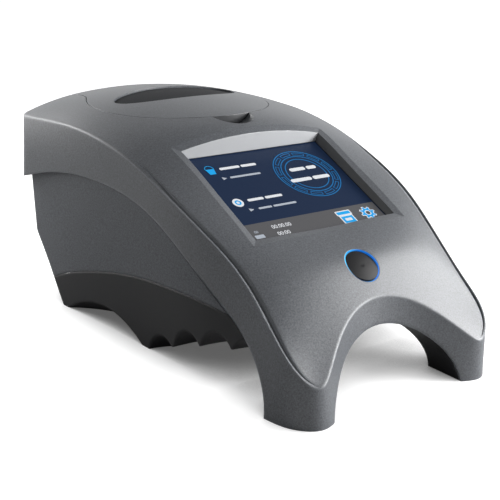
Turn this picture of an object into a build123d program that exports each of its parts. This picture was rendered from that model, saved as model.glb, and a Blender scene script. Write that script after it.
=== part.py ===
from build123d import *
import math
import os

os.makedirs("parts", exist_ok=True)

# Frame: X across, front towards -Y, +Z up, origin on the bench under the middle of the case

# Plan outline of the case: where its stations lie, and its half widths at the bench and up high
nose_y = -89.35
nose_hollow_x = 20.6
nose_hollow_depth = 4.1
leg_inner_x = 36.0
leg_inner_depth = 13.2
leg_front_y = -105.0
leg_tip_x = 43.9
leg_shoulder_x = 51.9
leg_shoulder_y = -100.0
leg_back_y = -84.7
waist_y = -45.0
nose_draft = 0.11
tip_lean = 0.6
nose_draft_z = 10.0
middle_y = -4.0
lid_side_y = 38.0
rear_corner_y = 96.0
rear_y = 105.0
leg_half_low = 56.0
leg_half_high = 51.0
waist_half_low = 56.3
waist_half_high = 58.3
middle_half_low = 57.0
middle_half_high = 60.5
lid_side_half_low = 60.5
lid_side_half_high = 60.6
rear_half_low = 64.6
rear_half_high = 62.8
outline_high_z = 96.0
case_corner_radius = 6.0

# Crowned top: height on the middle line and at the edge at stations along the case
nose_crown_z = 26.2
nose_edge_z = 15.5
nose_fullness = 2.1
lead_length = 9.0
lead_crown_fall = 6.6
lead_edge_fall = 9.6
arch_crown_y = -86.5
arch_crown_z = 38.9
arch_edge_z = 34.3
arch_fullness = 0.83
arch_crown_half = 53.5
button_y = -75.9
button_crown_z = 50.0
button_edge_z = 42.3
button_crown_half = 55.0
button_fullness = 0.4
window_low_y = -58.1
window_low_crown_z = 58.9
window_low_edge_z = 55.7
window_low_fullness = -0.9
window_low_groove = 0.9
window_mid_y = -24.6
window_mid_crown_z = 77.0
window_mid_edge_z = 72.7
window_mid_fullness = 0.7
window_mid_groove = 0.6
window_high_y = 2.2
window_high_crown_z = 91.6
window_high_edge_z = 81.2
lid_front_crown_y = 28.0
lid_front_crown_z = 96.3
lid_front_edge_z = 86.2
summit_y = 54.0
summit_crown_z = 98.0
summit_edge_z = 87.7
tail_crown_y = 80.0
tail_crown_z = 96.6
tail_edge_z = 85.8
rear_crown_z = 92.6
rear_edge_z = 84.2
trail_crown_fall = 2.0
trail_edge_fall = 1.6

# Walls, gaps and fits
cover_wall = 2.6
crown_wall = 3.0
nose_wall = 1.2
housing_wall = 2.5
base_wall = 3.0
seam_gap = 0.4
screw_clearance = 0.2
fit_gap = 0.3
panel_step = 0.25
parting_gap = 0.05
pin_gap = 0.05

# Shallow groove along the front half of the top edge
groove_lip = 0.7
groove_width = 1.8
groove_depth = 1.1
groove_end_x = 44.0
groove_rear_y = 0.2

# Ends of the blocks that cut and trim, beyond the case on every side
case_reach = 80.0
front_reach_y = -120.0
rear_reach_y = 112.0
cut_floor_z = -20.0
low_end_z = -4.0
under_leg_z = -6.0
under_case_z = -12.0
fitting_top_z = 104.0
sky_z = 120.0

# Side view of the parting lines
corner_y = -60.0
corner_z = 34.5
skirt_front_y = -43.0
skirt_front_z = 45.0
skirt_middle_y = -13.0
skirt_middle_z = 61.0
skirt_peak_y = 35.0
skirt_peak_z = 67.6
skirt_back_y = 69.5
skirt_back_z = 63.2
skirt_tail_y = 93.0
skirt_tail_z = 56.3
skirt_rear_z = 50.6
skirt_flange = 2.0
flange_start_y = 12.0
grip_front_y = -42.4
grip_front_z = 35.1
grip_middle_y = -20.8
grip_middle_z = 33.8
grip_side_y = 8.0
grip_side_z = 30.3
grip_thumb_y = 41.0
grip_thumb_z = 22.6
grip_tail_y = 60.5
grip_tail_z = 16.0
grip_rear_y = 72.0
grip_rear_z = 10.8
leg_curve_y = -74.4
leg_curve_z = 23.9
leg_low_z = 10.0
leg_low_shift = 1.3

# Lower body under the skirt
body_side_half = 59.7
body_rear_half = 58.8
body_rear_half_low = 60.5
body_side_half_low = 58.5
body_middle_half_low = 55.5
body_rear_corner_y = 98.2
body_rear_corner_low_y = 83.5
body_rear_bulge = 7.0
body_corner_radius = 4.0
body_high_z = 70.0
tail_foot_y = 61.6
tail_low_y = 66.5
tail_low_z = 6.1
tail_middle_y = 75.6
tail_middle_z = 17.6
tail_high_y = 85.8
tail_high_z = 28.6
tail_top_z = 52.0

# Arch between the front legs and the belly behind it
arch_half = 35.5
arch_shoulder_x = 31.4
arch_shoulder_z = 11.0
arch_crest_x = 20.9
arch_crest_z = 21.2
arch_height = 27.6
arch_end_y = -50.0
arch_slant = 0.7
arch_lining = 2.2
foot_front_y = -7.3
belly_rise = 0.5206
belly_curve = 0.002625
belly_stations = (-104.0, -76.0, -52.0, -30.0)
leg_plug_z = 9.0
leg_plug_depth = 7.0
leg_plug_overlap = 1.0

# Finger and thumb hollows in the grip
finger_first_y = -15.6
finger_pitch = 19.8
finger_radius = 11.4
finger_rise = 6.6
finger_count = 4
thumb_y = 27.5
thumb_radius = 53.0
thumb_rise = 9.3
hollow_tilt = 30.0
hollow_side_x = 57.0
hollow_length = 90.0

# Display window: plane of the glass through its middle
display_y = -26.2
display_z = 69.7
display_tilt = 24.6
display_half_width = 36.6
display_half_height = 27.5
pocket_flare = 1.7
pocket_low_flare = 2.7
pocket_clear_z = 15.0
bevel_width = 3.3
bevel_depth = 0.9
frame_margin = 5.8
display_ear_high = 8.0
glass_overlap = 1.6
glass_thickness = 1.1
gasket_thickness = 0.5
gasket_width = 1.3
lcd_thickness = 2.6
lcd_inset = 1.0
bracket_floor = 1.6
bracket_wall = 2.4
bracket_gap = 0.3
bracket_rim = 8.0
bracket_bridge = 4.0
display_screw_radius = 1.2
display_ear_radius = 3.4
display_ear_y = 18.0
display_ear_top = -2.8
display_screw_tip = 0.9

# Power button
button_tilt = 35.0
button_hole_radius = 8.1
ring_width = 0.45
ring_depth = 3.9
ring_flange_radius = 9.75
ring_flange_thickness = 0.8
ring_gap = 0.05
ring_drop = 0.1
button_boss_radius = 13.6
button_boss_high = 6.0
button_post_high = 1.0
button_recess = 0.7
button_edge_gap = 0.25
button_dome = 0.4
button_lift = 0.1
button_flange_width = 1.6
button_flange_thickness = 1.2
button_travel = 0.6
stem_radius = 2.2
stem_length = 0.8
switch_size = 6.2
switch_height = 3.2
plunger_radius = 1.7
plunger_height = 1.2
plunger_rise = 1.0
button_board_thickness = 1.2
button_board_margin = 2.4
button_board_half = 6.5
button_post_x = 11.6
button_post_radius = 1.7

# Heads of the small screws: radius and height
display_head = (2.2, 1.2)
chamber_head = (2.0, 1.3)
board_head = (2.4, 1.4)

# Lid with its label recess and its hinge
lid_y = 57.0
lid_radius = 43.0
lid_wall = 2.6
lid_bottom_z = 87.5
liner_thickness = 2.0
liner_gap = 0.15
lid_rim_step = 2.4
lid_crown_wall = 2.8
tab_half = 31.2
tab_corner_radius = 27.3
tab_gap = 0.8
tab_reach = 4.0
neck_rise = 6.2
neck_clearance = 0.25
hinge_y = 98.0
hinge_z = 86.9
barrel_radius = 7.6
barrel_end_radius = 6.5
barrel_rear_cut_z = 83.5
hinge_pin_radius = 1.6
hinge_pin_length = 9.0
pin_shift = 0.4
hinge_ear_width = 7.0
hinge_block_depth = 12.0
hinge_block_z = 75.5
label_y = 58.5
label_half_length = 33.6
label_half_depth = 14.0
label_recess = 1.4
label_thickness = 0.5
label_gap = 0.12
label_low_z = 60.0
label_block = 60.0
notch_y = 13.3
notch_z = 103.7
notch_ball_radius = 14.0
notch_boss_radius = 13.5
well_floor_z = 86.0
well_floor_thickness = 2.0
well_wall = 2.0
trap_depth = 3.0
trap_inset = 2.0
trap_wall = 1.8
gasket_gap = 0.2

# Disc chamber, spindle and motor
chamber_y = 55.5
chamber_radius = 31.5
chamber_wall = 2.0
chamber_floor_z = 66.0
chamber_flange_radius = 40.0
chamber_flange_half = 26.5
chamber_flange = 2.0
chamber_screw_radius = 1.1
chamber_screw_x = 28.5
chamber_screw_y = 23.0
chamber_screw_length = 3.4
hub_radius = 9.0
hub_height = 9.0
hub_flat_x = 6.4
hub_gap = 1.2
hub_flange = 2.0
hub_flange_width = 3.0
hub_cap = 1.5
hub_chamfer = 1.2
shaft_radius = 1.5
shaft_in_motor = 17.0
bearing_radius = 4.0
motor_radius = 14.0
motor_height = 19.0
motor_screw_circle = 6.7
motor_screw_radius = 0.9
motor_screw_length = 4.6
motor_head_radius = 1.7
motor_head_height = 0.8
motor_edge_radius = 1.2
motor_boss_radius = 4.5
motor_boss_height = 2.0
motor_seat_z = 65.0

# Optics at the front of the chamber
optics_width = 26.0
optics_depth = 9.0
optics_height = 13.0
optics_rise = 3.0
window_width = 16.0
window_height = 5.0
window_thickness = 1.0
optics_board_thickness = 1.2
lamp_count = 5
lamp_pitch = 3.0
lamp_radius = 0.9
lamp_depth = 14.0

# Parts on the main board: low X, low Y, high X, high Y and height
board_blocks = (
    (-12.0, -30.0, 6.0, -12.0, 1.4),
    (14.0, -34.0, 34.0, -14.0, 2.4),
    (-24.0, 2.0, -6.0, 9.0, 5.5),
    (-26.0, -46.0, -6.0, -40.0, 3.0),
)

# Circuit boards, battery, port and case screws
board_half_width = 41.0
board_front_y = -50.0
board_back_y = 12.0
board_z = 36.0
board_thickness = 1.6
board_screw_radius = 1.3
board_screw_length = 7.6
board_post_radius = 3.2
board_hole_inset = 5.0
battery_half_width = 28.0
battery_front_y = 20.0
battery_back_y = 56.0
battery_height = 10.5
clamp_width = 10.0
clamp_thickness = 1.4
clamp_gap = 0.3
clamp_foot = 8.0
port_x = 26.0
port_z = 45.0
port_half_width = 4.6
port_half_height = 1.7
port_depth = 7.5
port_board_thickness = 1.2
port_shell = 0.5
port_mouth = 5.5
port_inset = 1.0
tongue_half = 2.6
tongue_thickness = 0.7
shelf_half = 9.0
shelf_depth = 15.0
shelf_thickness = 3.0
port_board_half = 8.0
port_board_depth = 14.5
port_board_gap = 2.0
screw_radius = 1.5
screw_head_radius = 2.8
screw_head_height = 1.8
screw_recess_depth = 5.0
screw_length = 36.0
column_radius = 3.6
column_seat_z = 30.0
column_x = 47.5
front_column_y = 1.2
rear_column_y = 57.0
leg_screw_x = 45.0
leg_screw_y = -95.0
leg_screw_length = 12.0
leg_seat_z = 3.0


def save(shape, node):
    """Write one node."""
    export_step(shape, f"parts/{node}.step")


def rod(radius, low, high, x=0.0, y=0.0):
    """Upright cylinder between two heights."""
    return Pos(x, y, (low + high) / 2) * Cylinder(radius, high - low)


def box_between(low, high):
    """Box from its lowest to its highest corner."""
    size = [b - a for a, b in zip(low, high)]
    middle = [(a + b) / 2 for a, b in zip(low, high)]
    return Pos(*middle) * Box(*size)


def inset_points(points, insets):
    """Move the points of an open curve inwards, square to the curve, each by its own inset."""
    moved = []
    last = len(points) - 1
    for index, (x, y) in enumerate(points):
        before = points[max(index - 1, 0)]
        after = points[min(index + 1, last)]
        dx = after[0] - before[0]
        dy = after[1] - before[1]
        size = math.hypot(dx, dy)
        moved.append((x - insets[index] * dy / size, y + insets[index] * dx / size))
    return moved


def plan_face(z, halves, corner, rear, inset, nose_inset, radius):
    """Outline seen from above: a spline round the nose and the sides, an arc at the rear."""
    leg_half, waist_half, middle_half, side_half, rear_half = halves
    shoulder = leg_shoulder_x + (leg_half - leg_half_low) / 2
    side = [
        (nose_hollow_x, nose_y - nose_hollow_depth),
        (leg_inner_x, nose_y - leg_inner_depth),
        (leg_tip_x, leg_front_y),
        (shoulder, leg_shoulder_y),
        (leg_half, leg_back_y),
        (waist_half, waist_y),
        (middle_half, middle_y),
        (side_half, lid_side_y),
        (rear_half, corner),
    ]
    left = [(-x, y) for x, y in reversed(side)]
    lean = nose_draft * (z - nose_draft_z)
    nose = [nose_inset + lean] * 2
    tip = [(inset + nose_inset) / 2 + tip_lean * lean]
    sides = [inset] * (len(side) - 3)
    insets = sides + tip + nose + nose[:1] + nose + tip + sides
    points = inset_points(left + [(0.0, nose_y)] + side, insets)
    points[0] = (points[0][0], corner - inset)
    points[-1] = (points[-1][0], corner - inset)
    front = Spline(*[(x, y, z) for x, y in points])
    back = ThreePointArc((*points[-1], z), (0.0, rear - inset, z), (*points[0], z))
    face = Face(Wire([front, back]))
    corners = [v for v in face.vertices() if v.Y > corner - inset - 1.0]
    return face.fillet_2d(radius, corners)


def drafted_block(low, high, high_z, rears, insets, radius, top):
    """Block whose outline runs straight from under the bench to a level above the case."""
    faces = []
    for z in (low_end_z, top):
        share = z / high_z
        halves = [a + (b - a) * share for a, b in zip(low, high)]
        corner = rears[0] + (rears[1] - rears[0]) * share
        rear = rears[2] + (rears[3] - rears[2]) * share
        faces.append(plan_face(z, halves, corner, rear, *insets, radius))
    return Solid.make_loft([face.outer_wire() for face in faces], ruled=True)


def case_block(inset=0.0, nose_inset=None):
    """Upper case: drafted walls from the bench to above the lid."""
    low = (leg_half_low, waist_half_low, middle_half_low, lid_side_half_low, rear_half_low)
    high = (leg_half_high, waist_half_high, middle_half_high, lid_side_half_high, rear_half_high)
    rears = (rear_corner_y, rear_corner_y, rear_y, rear_y)
    insets = (inset, inset if nose_inset is None else nose_inset)
    radius = max(case_corner_radius - inset, 2.0)
    return drafted_block(low, high, outline_high_z, rears, insets, radius, outline_high_z + 8.0)


def body_block(inset=0.0):
    """Lower body: flush with the case at the front and set in under the skirt at the rear."""
    share = body_high_z / outline_high_z
    leg = leg_half_low + (leg_half_high - leg_half_low) * share
    waist = waist_half_low + (waist_half_high - waist_half_low) * share
    middle = middle_half_low + (middle_half_high - middle_half_low) * share
    low = (leg_half_low, waist_half_low, body_middle_half_low, body_side_half_low, body_rear_half_low)
    high = (leg, waist, middle, body_side_half, body_rear_half)
    rears = (
        body_rear_corner_low_y,
        body_rear_corner_y,
        body_rear_corner_low_y + body_rear_bulge,
        body_rear_corner_y + body_rear_bulge,
    )
    insets = (inset + panel_step, inset + panel_step)
    radius = max(body_corner_radius - inset, 1.0)
    return drafted_block(low, high, body_high_z, rears, insets, radius, body_high_z + 6.0)


def crown_wire(y, middle, edge, half, fullness, drop):
    """Cross-section under the crowned top: a quartic in X over a flat floor."""
    reach = 1.25
    floor = -20.0
    fall = middle - edge
    points = []
    for step in (-reach, -1.0, -0.8, -0.5, 0.0, 0.5, 0.8, 1.0, reach):
        z = middle - drop - fall * (fullness * step**2 + (1 - fullness) * step**4)
        points.append((step * half, y, z))
    top = Spline(*points)
    rest = Polyline(points[-1], (reach * half, y, floor), (-reach * half, y, floor), points[0])
    return Wire([top, *rest.edges()])


def crown_block(drop=0.0, groove=0.0):
    """Everything under the crowned top; groove lowers it further towards the nose."""
    leg = leg_half_high
    lead_y = leg_front_y - lead_length
    lead_z = (nose_crown_z - lead_crown_fall, nose_edge_z - lead_edge_fall)
    trail_z = (rear_crown_z - trail_crown_fall, rear_edge_z - trail_edge_fall)
    low = (window_low_crown_z, window_low_edge_z, waist_half_low, window_low_fullness, window_low_groove)
    mid = (window_mid_crown_z, window_mid_edge_z, waist_half_high, window_mid_fullness, window_mid_groove)
    stations = [
        (lead_y, *lead_z, leg, nose_fullness, 1.0),
        (leg_front_y, nose_crown_z, nose_edge_z, leg, nose_fullness, 1.0),
        (arch_crown_y, arch_crown_z, arch_edge_z, arch_crown_half, arch_fullness, 1.0),
        (button_y, button_crown_z, button_edge_z, button_crown_half, button_fullness, 1.0),
        (window_low_y, *low),
        (window_mid_y, *mid),
        (window_high_y, window_high_crown_z, window_high_edge_z, middle_half_high, 1.0, 0.0),
        (lid_front_crown_y, lid_front_crown_z, lid_front_edge_z, lid_side_half_high, 1.0, 0.0),
        (summit_y, summit_crown_z, summit_edge_z, lid_side_half_high, 1.0, 0.0),
        (tail_crown_y, tail_crown_z, tail_edge_z, rear_half_high, 1.0, 0.0),
        (rear_y, rear_crown_z, rear_edge_z, rear_half_high, 1.0, 0.0),
        (rear_y + lead_length, *trail_z, rear_half_high, 1.0, 0.0),
    ]
    wires = []
    for y, middle, edge, half, fullness, share in stations:
        wires.append(crown_wire(y, middle, edge, half, fullness, drop + groove * share))
    return Solid.make_loft(wires)


def side_block(curves, corners, half=case_reach):
    """Block across the case from a side view: curves in order, then straight closing corners."""
    edges = [Spline(*[(0.0, y, z) for y, z in curve]) for curve in curves]
    closing = Polyline(*[(0.0, y, z) for y, z in [curves[-1][-1], *corners, curves[0][0]]])
    face = Face(Wire([*edges, *closing.edges()]))
    return extrude(face, half, dir=(1, 0, 0), both=True)


def leg_curve(back=0.0):
    """Rear edge of a front leg in side view, from the corner of the grip to the bench."""
    return [
        (corner_y + back, corner_z - back),
        (leg_curve_y + back, leg_curve_z),
        (leg_back_y + leg_low_shift + back, leg_low_z),
        (leg_back_y + back, under_leg_z),
    ]


def skirt_curve(shift=0.0):
    """Skirt line of the cover in side view, from the rear to the corner of the grip."""
    return [
        (rear_reach_y, skirt_rear_z + shift),
        (skirt_tail_y, skirt_tail_z + shift),
        (skirt_back_y, skirt_back_z + shift),
        (skirt_peak_y, skirt_peak_z + shift),
        (skirt_middle_y, skirt_middle_z + shift),
        (skirt_front_y, skirt_front_z + shift),
        (corner_y, corner_z + shift),
    ]


def above_skirt():
    """Space above the skirt line and in front of the rear edge of the legs."""
    ends = [(front_reach_y, under_leg_z), (front_reach_y, sky_z), (rear_reach_y, sky_z)]
    return side_block([skirt_curve(), leg_curve()], ends)


def under_skirt(shift=0.0):
    """Space under the skirt line and behind the legs."""
    return side_block([skirt_curve(shift)], [(corner_y, under_case_z), (rear_reach_y, under_case_z)])


def grip_curves(shift=0.0):
    """Upper edge of the grip in side view: a curve to the tail, then level round the rear."""
    curve = [
        (corner_y - shift, corner_z + shift),
        (grip_front_y, grip_front_z + shift),
        (grip_middle_y, grip_middle_z + shift),
        (grip_side_y, grip_side_z + shift),
        (grip_thumb_y, grip_thumb_z + shift),
        (grip_tail_y, grip_tail_z + shift),
        (grip_rear_y, grip_rear_z + shift),
    ]
    return [curve, [curve[-1], (rear_reach_y, grip_rear_z + shift)]]


def belly_height(y):
    """Height of the sloping belly in front of the feet."""
    run = foot_front_y - y
    return belly_rise * run - belly_curve * run**2


def belly_space(shift=0.0):
    """Space above the sloping belly, the feet and the rising tail."""
    belly = [(y, belly_height(y) + shift) for y in (*belly_stations, foot_front_y)]
    tail = [
        (tail_foot_y, shift),
        (tail_low_y, tail_low_z + shift),
        (tail_middle_y, tail_middle_z + shift),
        (tail_high_y, tail_high_z + shift),
        (rear_reach_y, tail_top_z + shift),
    ]
    corners = [(rear_reach_y, sky_z), (belly_stations[0], sky_z)]
    return side_block([belly, [belly[-1], tail[0]], tail], corners)


def arch_block(extra=0.0):
    """The arch between the legs as a bar along Y."""
    half = [
        (arch_half + extra, 0.0),
        (arch_shoulder_x + extra, arch_shoulder_z),
        (arch_crest_x + extra * arch_slant, arch_crest_z + extra * arch_slant),
    ]
    front = front_reach_y
    low = under_case_z
    points = [(-x, z) for x, z in half] + [(0.0, arch_height + extra)] + [(x, z) for x, z in reversed(half)]
    curve = Spline(*[(x, front, z) for x, z in points])
    foot = half[0][0]
    ends = Polyline((foot, front, 0), (foot, front, low), (-foot, front, low), (-foot, front, 0))
    return extrude(Face(Wire([curve, *ends.edges()])), arch_end_y - front, dir=(0, 1, 0))


def before_legs(back=0.0):
    """Space in front of the rear edge of the legs and under the corner of the grip."""
    front = front_reach_y
    return side_block([leg_curve(back)], [(front, under_leg_z), (front, corner_z - back)])


def hollow_cutters(extra=0.0):
    """Four finger hollows and one thumb hollow in each side of the grip, as tilted cylinders."""
    slant = math.cos(math.radians(hollow_tilt))
    hollows = [(thumb_y, thumb_rise - thumb_radius / slant, thumb_radius)]
    for index in range(finger_count):
        y = finger_first_y - index * finger_pitch
        hollows.append((y, belly_height(y) + finger_rise - finger_radius / slant, finger_radius))
    shapes = []
    for side in (-1, 1):
        for y, z, radius in hollows:
            place = Pos(side * hollow_side_x, y, z) * Rot(0, side * (90 - hollow_tilt), 0)
            shapes.append(place * Cylinder(radius + extra, hollow_length))
    return shapes


def display_place():
    """Frame of the display: its own Z points out of the glass."""
    return Pos(0, display_y, display_z) * Rot(display_tilt, 0, 0)


def flat_box(half_x, half_y, low, high, middle_y=0.0):
    """Box in the frame of the display or the button."""
    return Pos(0, middle_y, (low + high) / 2) * Box(2 * half_x, 2 * half_y, high - low)


def button_place():
    """Frame of the power button: its own Z points out of the case."""
    return Pos(0, button_y, button_crown_z) * Rot(button_tilt, 0, 0)


def crown_height(crown, x, y):
    """Height of the crowned face above a point on the bench."""
    hits = crown.find_intersection_points(Axis((x, y, 0), (0, 0, 1)))
    return hits[0][0].Z


def window_wire(crown, half_x, low_y, high_y, drop):
    """Closed wire round the window that follows the crowned face, lowered by a drop."""
    corners = [(-half_x, low_y), (half_x, low_y), (half_x, high_y), (-half_x, high_y)]
    edges = []
    for start, end in zip(corners, corners[1:] + corners[:1]):
        points = []
        for share in (0.0, 0.25, 0.5, 0.75, 1.0):
            x = start[0] + (end[0] - start[0]) * share
            y = start[1] + (end[1] - start[1]) * share
            points.append((x, y, crown_height(crown, x, y) - drop))
        edges.append(Spline(*points))
    return Wire(edges)


def glass_wire(level):
    """Rectangle of the visible glass at a level in the frame of the display."""
    x = display_half_width
    y = display_half_height
    line = Polyline((-x, -y, level), (x, -y, level), (x, y, level), (-x, y, level), (-x, -y, level))
    return display_place() * Wire(line.edges())


def window_cutter(crown):
    """Window over the display: a bevel round its rim, then flaring walls down to the glass."""
    lean = math.radians(display_tilt)
    reach = display_half_height * math.cos(lean)
    high = display_y + reach
    low = display_y - reach - pocket_low_flare
    half = display_half_width + pocket_flare
    rim = (half + bevel_width, low - bevel_width, high + bevel_width)
    top = Pos(0, (rim[1] + rim[2]) / 2, summit_crown_z + 15.0) * Rectangle(2 * rim[0], rim[2] - rim[1])
    wires = [
        top.wire(),
        window_wire(crown, *rim, 0.0),
        window_wire(crown, half, low, high, bevel_depth),
        glass_wire(gasket_thickness),
        glass_wire(-1.0),
    ]
    return Solid.make_loft(wires, ruled=True)


def display_ears():
    """Places of the four display screws in the frame of the display."""
    x = display_half_width + glass_overlap + bracket_wall + display_ear_radius + 0.6
    return [(sx * x, sy * display_ear_y) for sx in (-1, 1) for sy in (-1, 1)]


def lid_outline(extra=0.0, side=0.0, rear=0.0):
    """Lid seen from above: a circle that sweeps into a straight tab towards the hinge."""
    half = tab_half + side
    length = hinge_y + rear - lid_y
    disc = Pos(0, lid_y) * Circle(lid_radius + extra)
    shape = disc + Pos(0, lid_y + length / 2) * Rectangle(2 * half, length)
    inner = [v for v in shape.vertices() if v.Y < hinge_y - 1 and abs(abs(v.X) - half) < 0.1]
    return fillet(inner, tab_corner_radius - side)


def well_rear_y(x):
    """Rear edge of the lid well at a distance from the middle: the swept corner, then the circle."""
    radius = lid_radius + seam_gap
    corner = tab_corner_radius - tab_gap
    corner_x = tab_half + tab_corner_radius
    rise = math.sqrt((radius + corner) ** 2 - corner_x**2)
    if x < corner_x * radius / (radius + corner):
        return lid_y + rise - math.sqrt(corner**2 - (corner_x - x) ** 2)
    return lid_y + math.sqrt(radius**2 - x**2)


def neck_relief():
    """Turned relief under the neck of the lid, so that it clears the corner of the well as it opens."""
    points = []
    for step in (0.0, 0.2, 0.6, 1.2, 2.0, 3.2, 4.6, 6.2, 8.0):
        x = tab_half + tab_gap + step
        radius = math.hypot(hinge_y - well_rear_y(x), neck_rise) + neck_clearance
        points.append((x - neck_clearance, radius))
    core = 2.0
    ends = Polyline(points[-1], (points[-1][0], core), (points[0][0], core), points[0])
    face = Face(Wire([Spline(*points), *ends.edges()]))
    right = Pos(0, hinge_y, hinge_z) * revolve(face, Axis.X)
    return right + mirror(right, Plane.YZ)


def barrel(extra=0.0, end_extra=0.0):
    """Hinge barrel: crowned like the top of the case, turned about the hinge axis."""
    half = tab_half + end_extra
    low = barrel_end_radius + extra
    high = barrel_radius + extra
    arc = ThreePointArc((-half, low), (0, high), (half, low))
    ends = Polyline((half, low), (half, 0), (-half, 0), (-half, low))
    face = Face(Wire([arc, *ends.edges()]))
    return Pos(0, hinge_y, hinge_z) * revolve(face, Axis.X)


def case_columns():
    """Places of the four long case screws."""
    return [(sx * column_x, y) for sx in (-1, 1) for y in (front_column_y, rear_column_y)]


def top_face(shape):
    """Crowned face of a case, found at the middle of its rear half."""
    spot = Vertex(0, tail_crown_y, tail_crown_z)
    faces = shape.faces().sort_by(lambda face: face.distance_to(spot))
    return faces[0]


def make_top_cover():
    """Upper moulding: crowned top, arched front legs, skirt, window, lid well and screw columns."""
    outer = case_block() & crown_block()
    hollow = case_block(cover_wall, nose_wall) & crown_block(crown_wall)
    shape = (outer & above_skirt()) - hollow + cover_fittings(outer) + skirt_shelf(outer)
    shape = shape - window_cutter(top_face(outer)) - groove_cutter() - arch_block() - under_bench()
    shape = shape - button_place() * Cylinder(button_hole_radius, 60)
    seat = Pos(0, 0, -ring_depth + ring_flange_thickness - 5) * Cylinder(ring_flange_radius + fit_gap, 10)
    shape = shape - button_place() * (seat - button_posts())
    return cut_screw_holes(cut_lid_well(shape))


def under_bench():
    """Space under the bench below the legs."""
    return box_between((-case_reach, front_reach_y, cut_floor_z), (case_reach, 0, 0))


def cut_lid_well(shape):
    """Cut the lid well, the hole of the chamber, the hinge trough and the notch for a finger."""
    well = extrude(Pos(0, 0, well_floor_z) * lid_outline(seam_gap, tab_gap, 2 * tab_reach), 40)
    shape = shape - well - rod(chamber_radius + chamber_wall + fit_gap, 0, 100, 0, chamber_y)
    shape = shape - barrel(seam_gap, tab_gap)
    half = tab_half + tab_gap
    shape = shape - box_between((-half, hinge_y, barrel_rear_cut_z), (half, rear_y + 9, 110))
    shape = shape - Pos(0, notch_y, notch_z) * Sphere(notch_ball_radius)
    for side in (-1, 1):
        pin = Pos(side * half, hinge_y, hinge_z) * Rot(0, 90, 0)
        shape = shape - pin * Cylinder(hinge_pin_radius, hinge_pin_length + 1.0)
    return shape


def cut_screw_holes(shape):
    """Drill the holes of the case, leg, chamber and display screws."""
    for x, y in case_columns():
        shape = shape - rod(screw_radius, 0, screw_recess_depth + screw_length + 1, x, y)
    tip = leg_seat_z + leg_screw_length + 1
    for side in (-1, 1):
        shape = shape - rod(screw_radius, 0, tip, side * leg_screw_x, leg_screw_y)
    seat = well_floor_z - well_floor_thickness - chamber_flange
    for x, y in chamber_screw_places():
        shape = shape - rod(chamber_screw_radius, seat, seat + chamber_screw_length + 0.2, x, y)
    for x, y in display_ears():
        low = display_ear_top - 1.0
        shape = shape - display_place() * rod(display_screw_radius, low, display_screw_tip + 0.2, x, y)
    return shape


def skirt_shelf(outer):
    """Flange that closes the underside of the skirt round the lower body."""
    band = outer & above_skirt() & under_skirt(skirt_flange)
    band = band & box_between((-case_reach, flange_start_y, 0), (case_reach, rear_reach_y, sky_z))
    return band - body_block(-fit_gap)


def button_posts():
    """Two posts that carry the board of the button, in the frame of the button."""
    low = switch_levels()[1]
    return [rod(button_post_radius, low, button_post_high, side * button_post_x) for side in (-1, 1)]


def cover_fittings(outer):
    """Bosses, frames and columns inside the cover, trimmed to its outer form."""
    half_x = display_half_width + frame_margin
    half_y = display_half_height + frame_margin
    frame = flat_box(half_x, half_y, gasket_thickness, pocket_clear_z)
    for x, y in display_ears():
        frame = frame + rod(display_ear_radius, display_ear_top + parting_gap, display_ear_high, x, y)
    boss = rod(button_boss_radius, -ring_depth + ring_flange_thickness, button_boss_high)
    shape = [display_place() * frame, button_place() * (boss + button_posts())]
    collar = well_floor_z - well_floor_thickness
    shape.append(rod(lid_radius + seam_gap + well_wall, collar, fitting_top_z, 0, lid_y))
    shape.append(rod(notch_boss_radius, collar, fitting_top_z, 0, notch_y))
    half = tab_half + tab_gap + hinge_ear_width
    low = (-half, rear_corner_y - hinge_block_depth, hinge_block_z)
    shape.append(box_between(low, (half, rear_y, fitting_top_z)))
    for x, y in case_columns():
        shape.append(rod(column_radius, column_seat_z, fitting_top_z, x, y))
    for side in (-1, 1):
        low = leg_plug_z + parting_gap
        shape.append(rod(column_radius, low, fitting_top_z, side * leg_screw_x, leg_screw_y))
    joined = shape[0]
    for piece in shape[1:]:
        joined = joined + piece
    return joined & outer


def groove_cutter():
    """Groove beside the top edge that deepens towards the nose and narrows at the tips of the legs."""
    inner = Pos(0, -groove_width, 0) * case_block(groove_lip + groove_width)
    ring = case_block(groove_lip) - inner - crown_block(0.0, groove_depth)
    rear = groove_rear_y
    left = box_between((-case_reach, front_reach_y, 0), (-groove_end_x, rear, sky_z))
    right = box_between((groove_end_x, front_reach_y, 0), (case_reach, rear, sky_z))
    return (ring & left) + (ring & right)


def make_lower_housing():
    """Grey ring between the skirt and the grip, with a tongue that fits inside the cover."""
    ring = body_block() & under_skirt(-parting_gap)
    tongue = body_block() & case_block(cover_wall + fit_gap) & under_skirt(skirt_flange)
    low = side_block(grip_curves(parting_gap), [(rear_reach_y, sky_z), (corner_y, sky_z)])
    shape = ((ring + tongue) & low & belly_space()) - body_block(housing_wall)
    shape = shape + port_shelf()
    hole = box_between(
        (port_x - port_half_width - fit_gap, rear_y - 20, port_z - port_half_height - fit_gap),
        (port_x + port_half_width + fit_gap, rear_y + 9, port_z + port_half_height + fit_gap),
    )
    return shape - hole


def port_shelf():
    """Shelf inside the rear wall that carries the board of the port."""
    top = port_z - port_half_height - port_board_thickness
    low = (port_x - shelf_half, port_face_y() - shelf_depth, top - shelf_thickness)
    shelf = box_between(low, (port_x + shelf_half, rear_y, top))
    return shelf & body_block(1.0)


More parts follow.
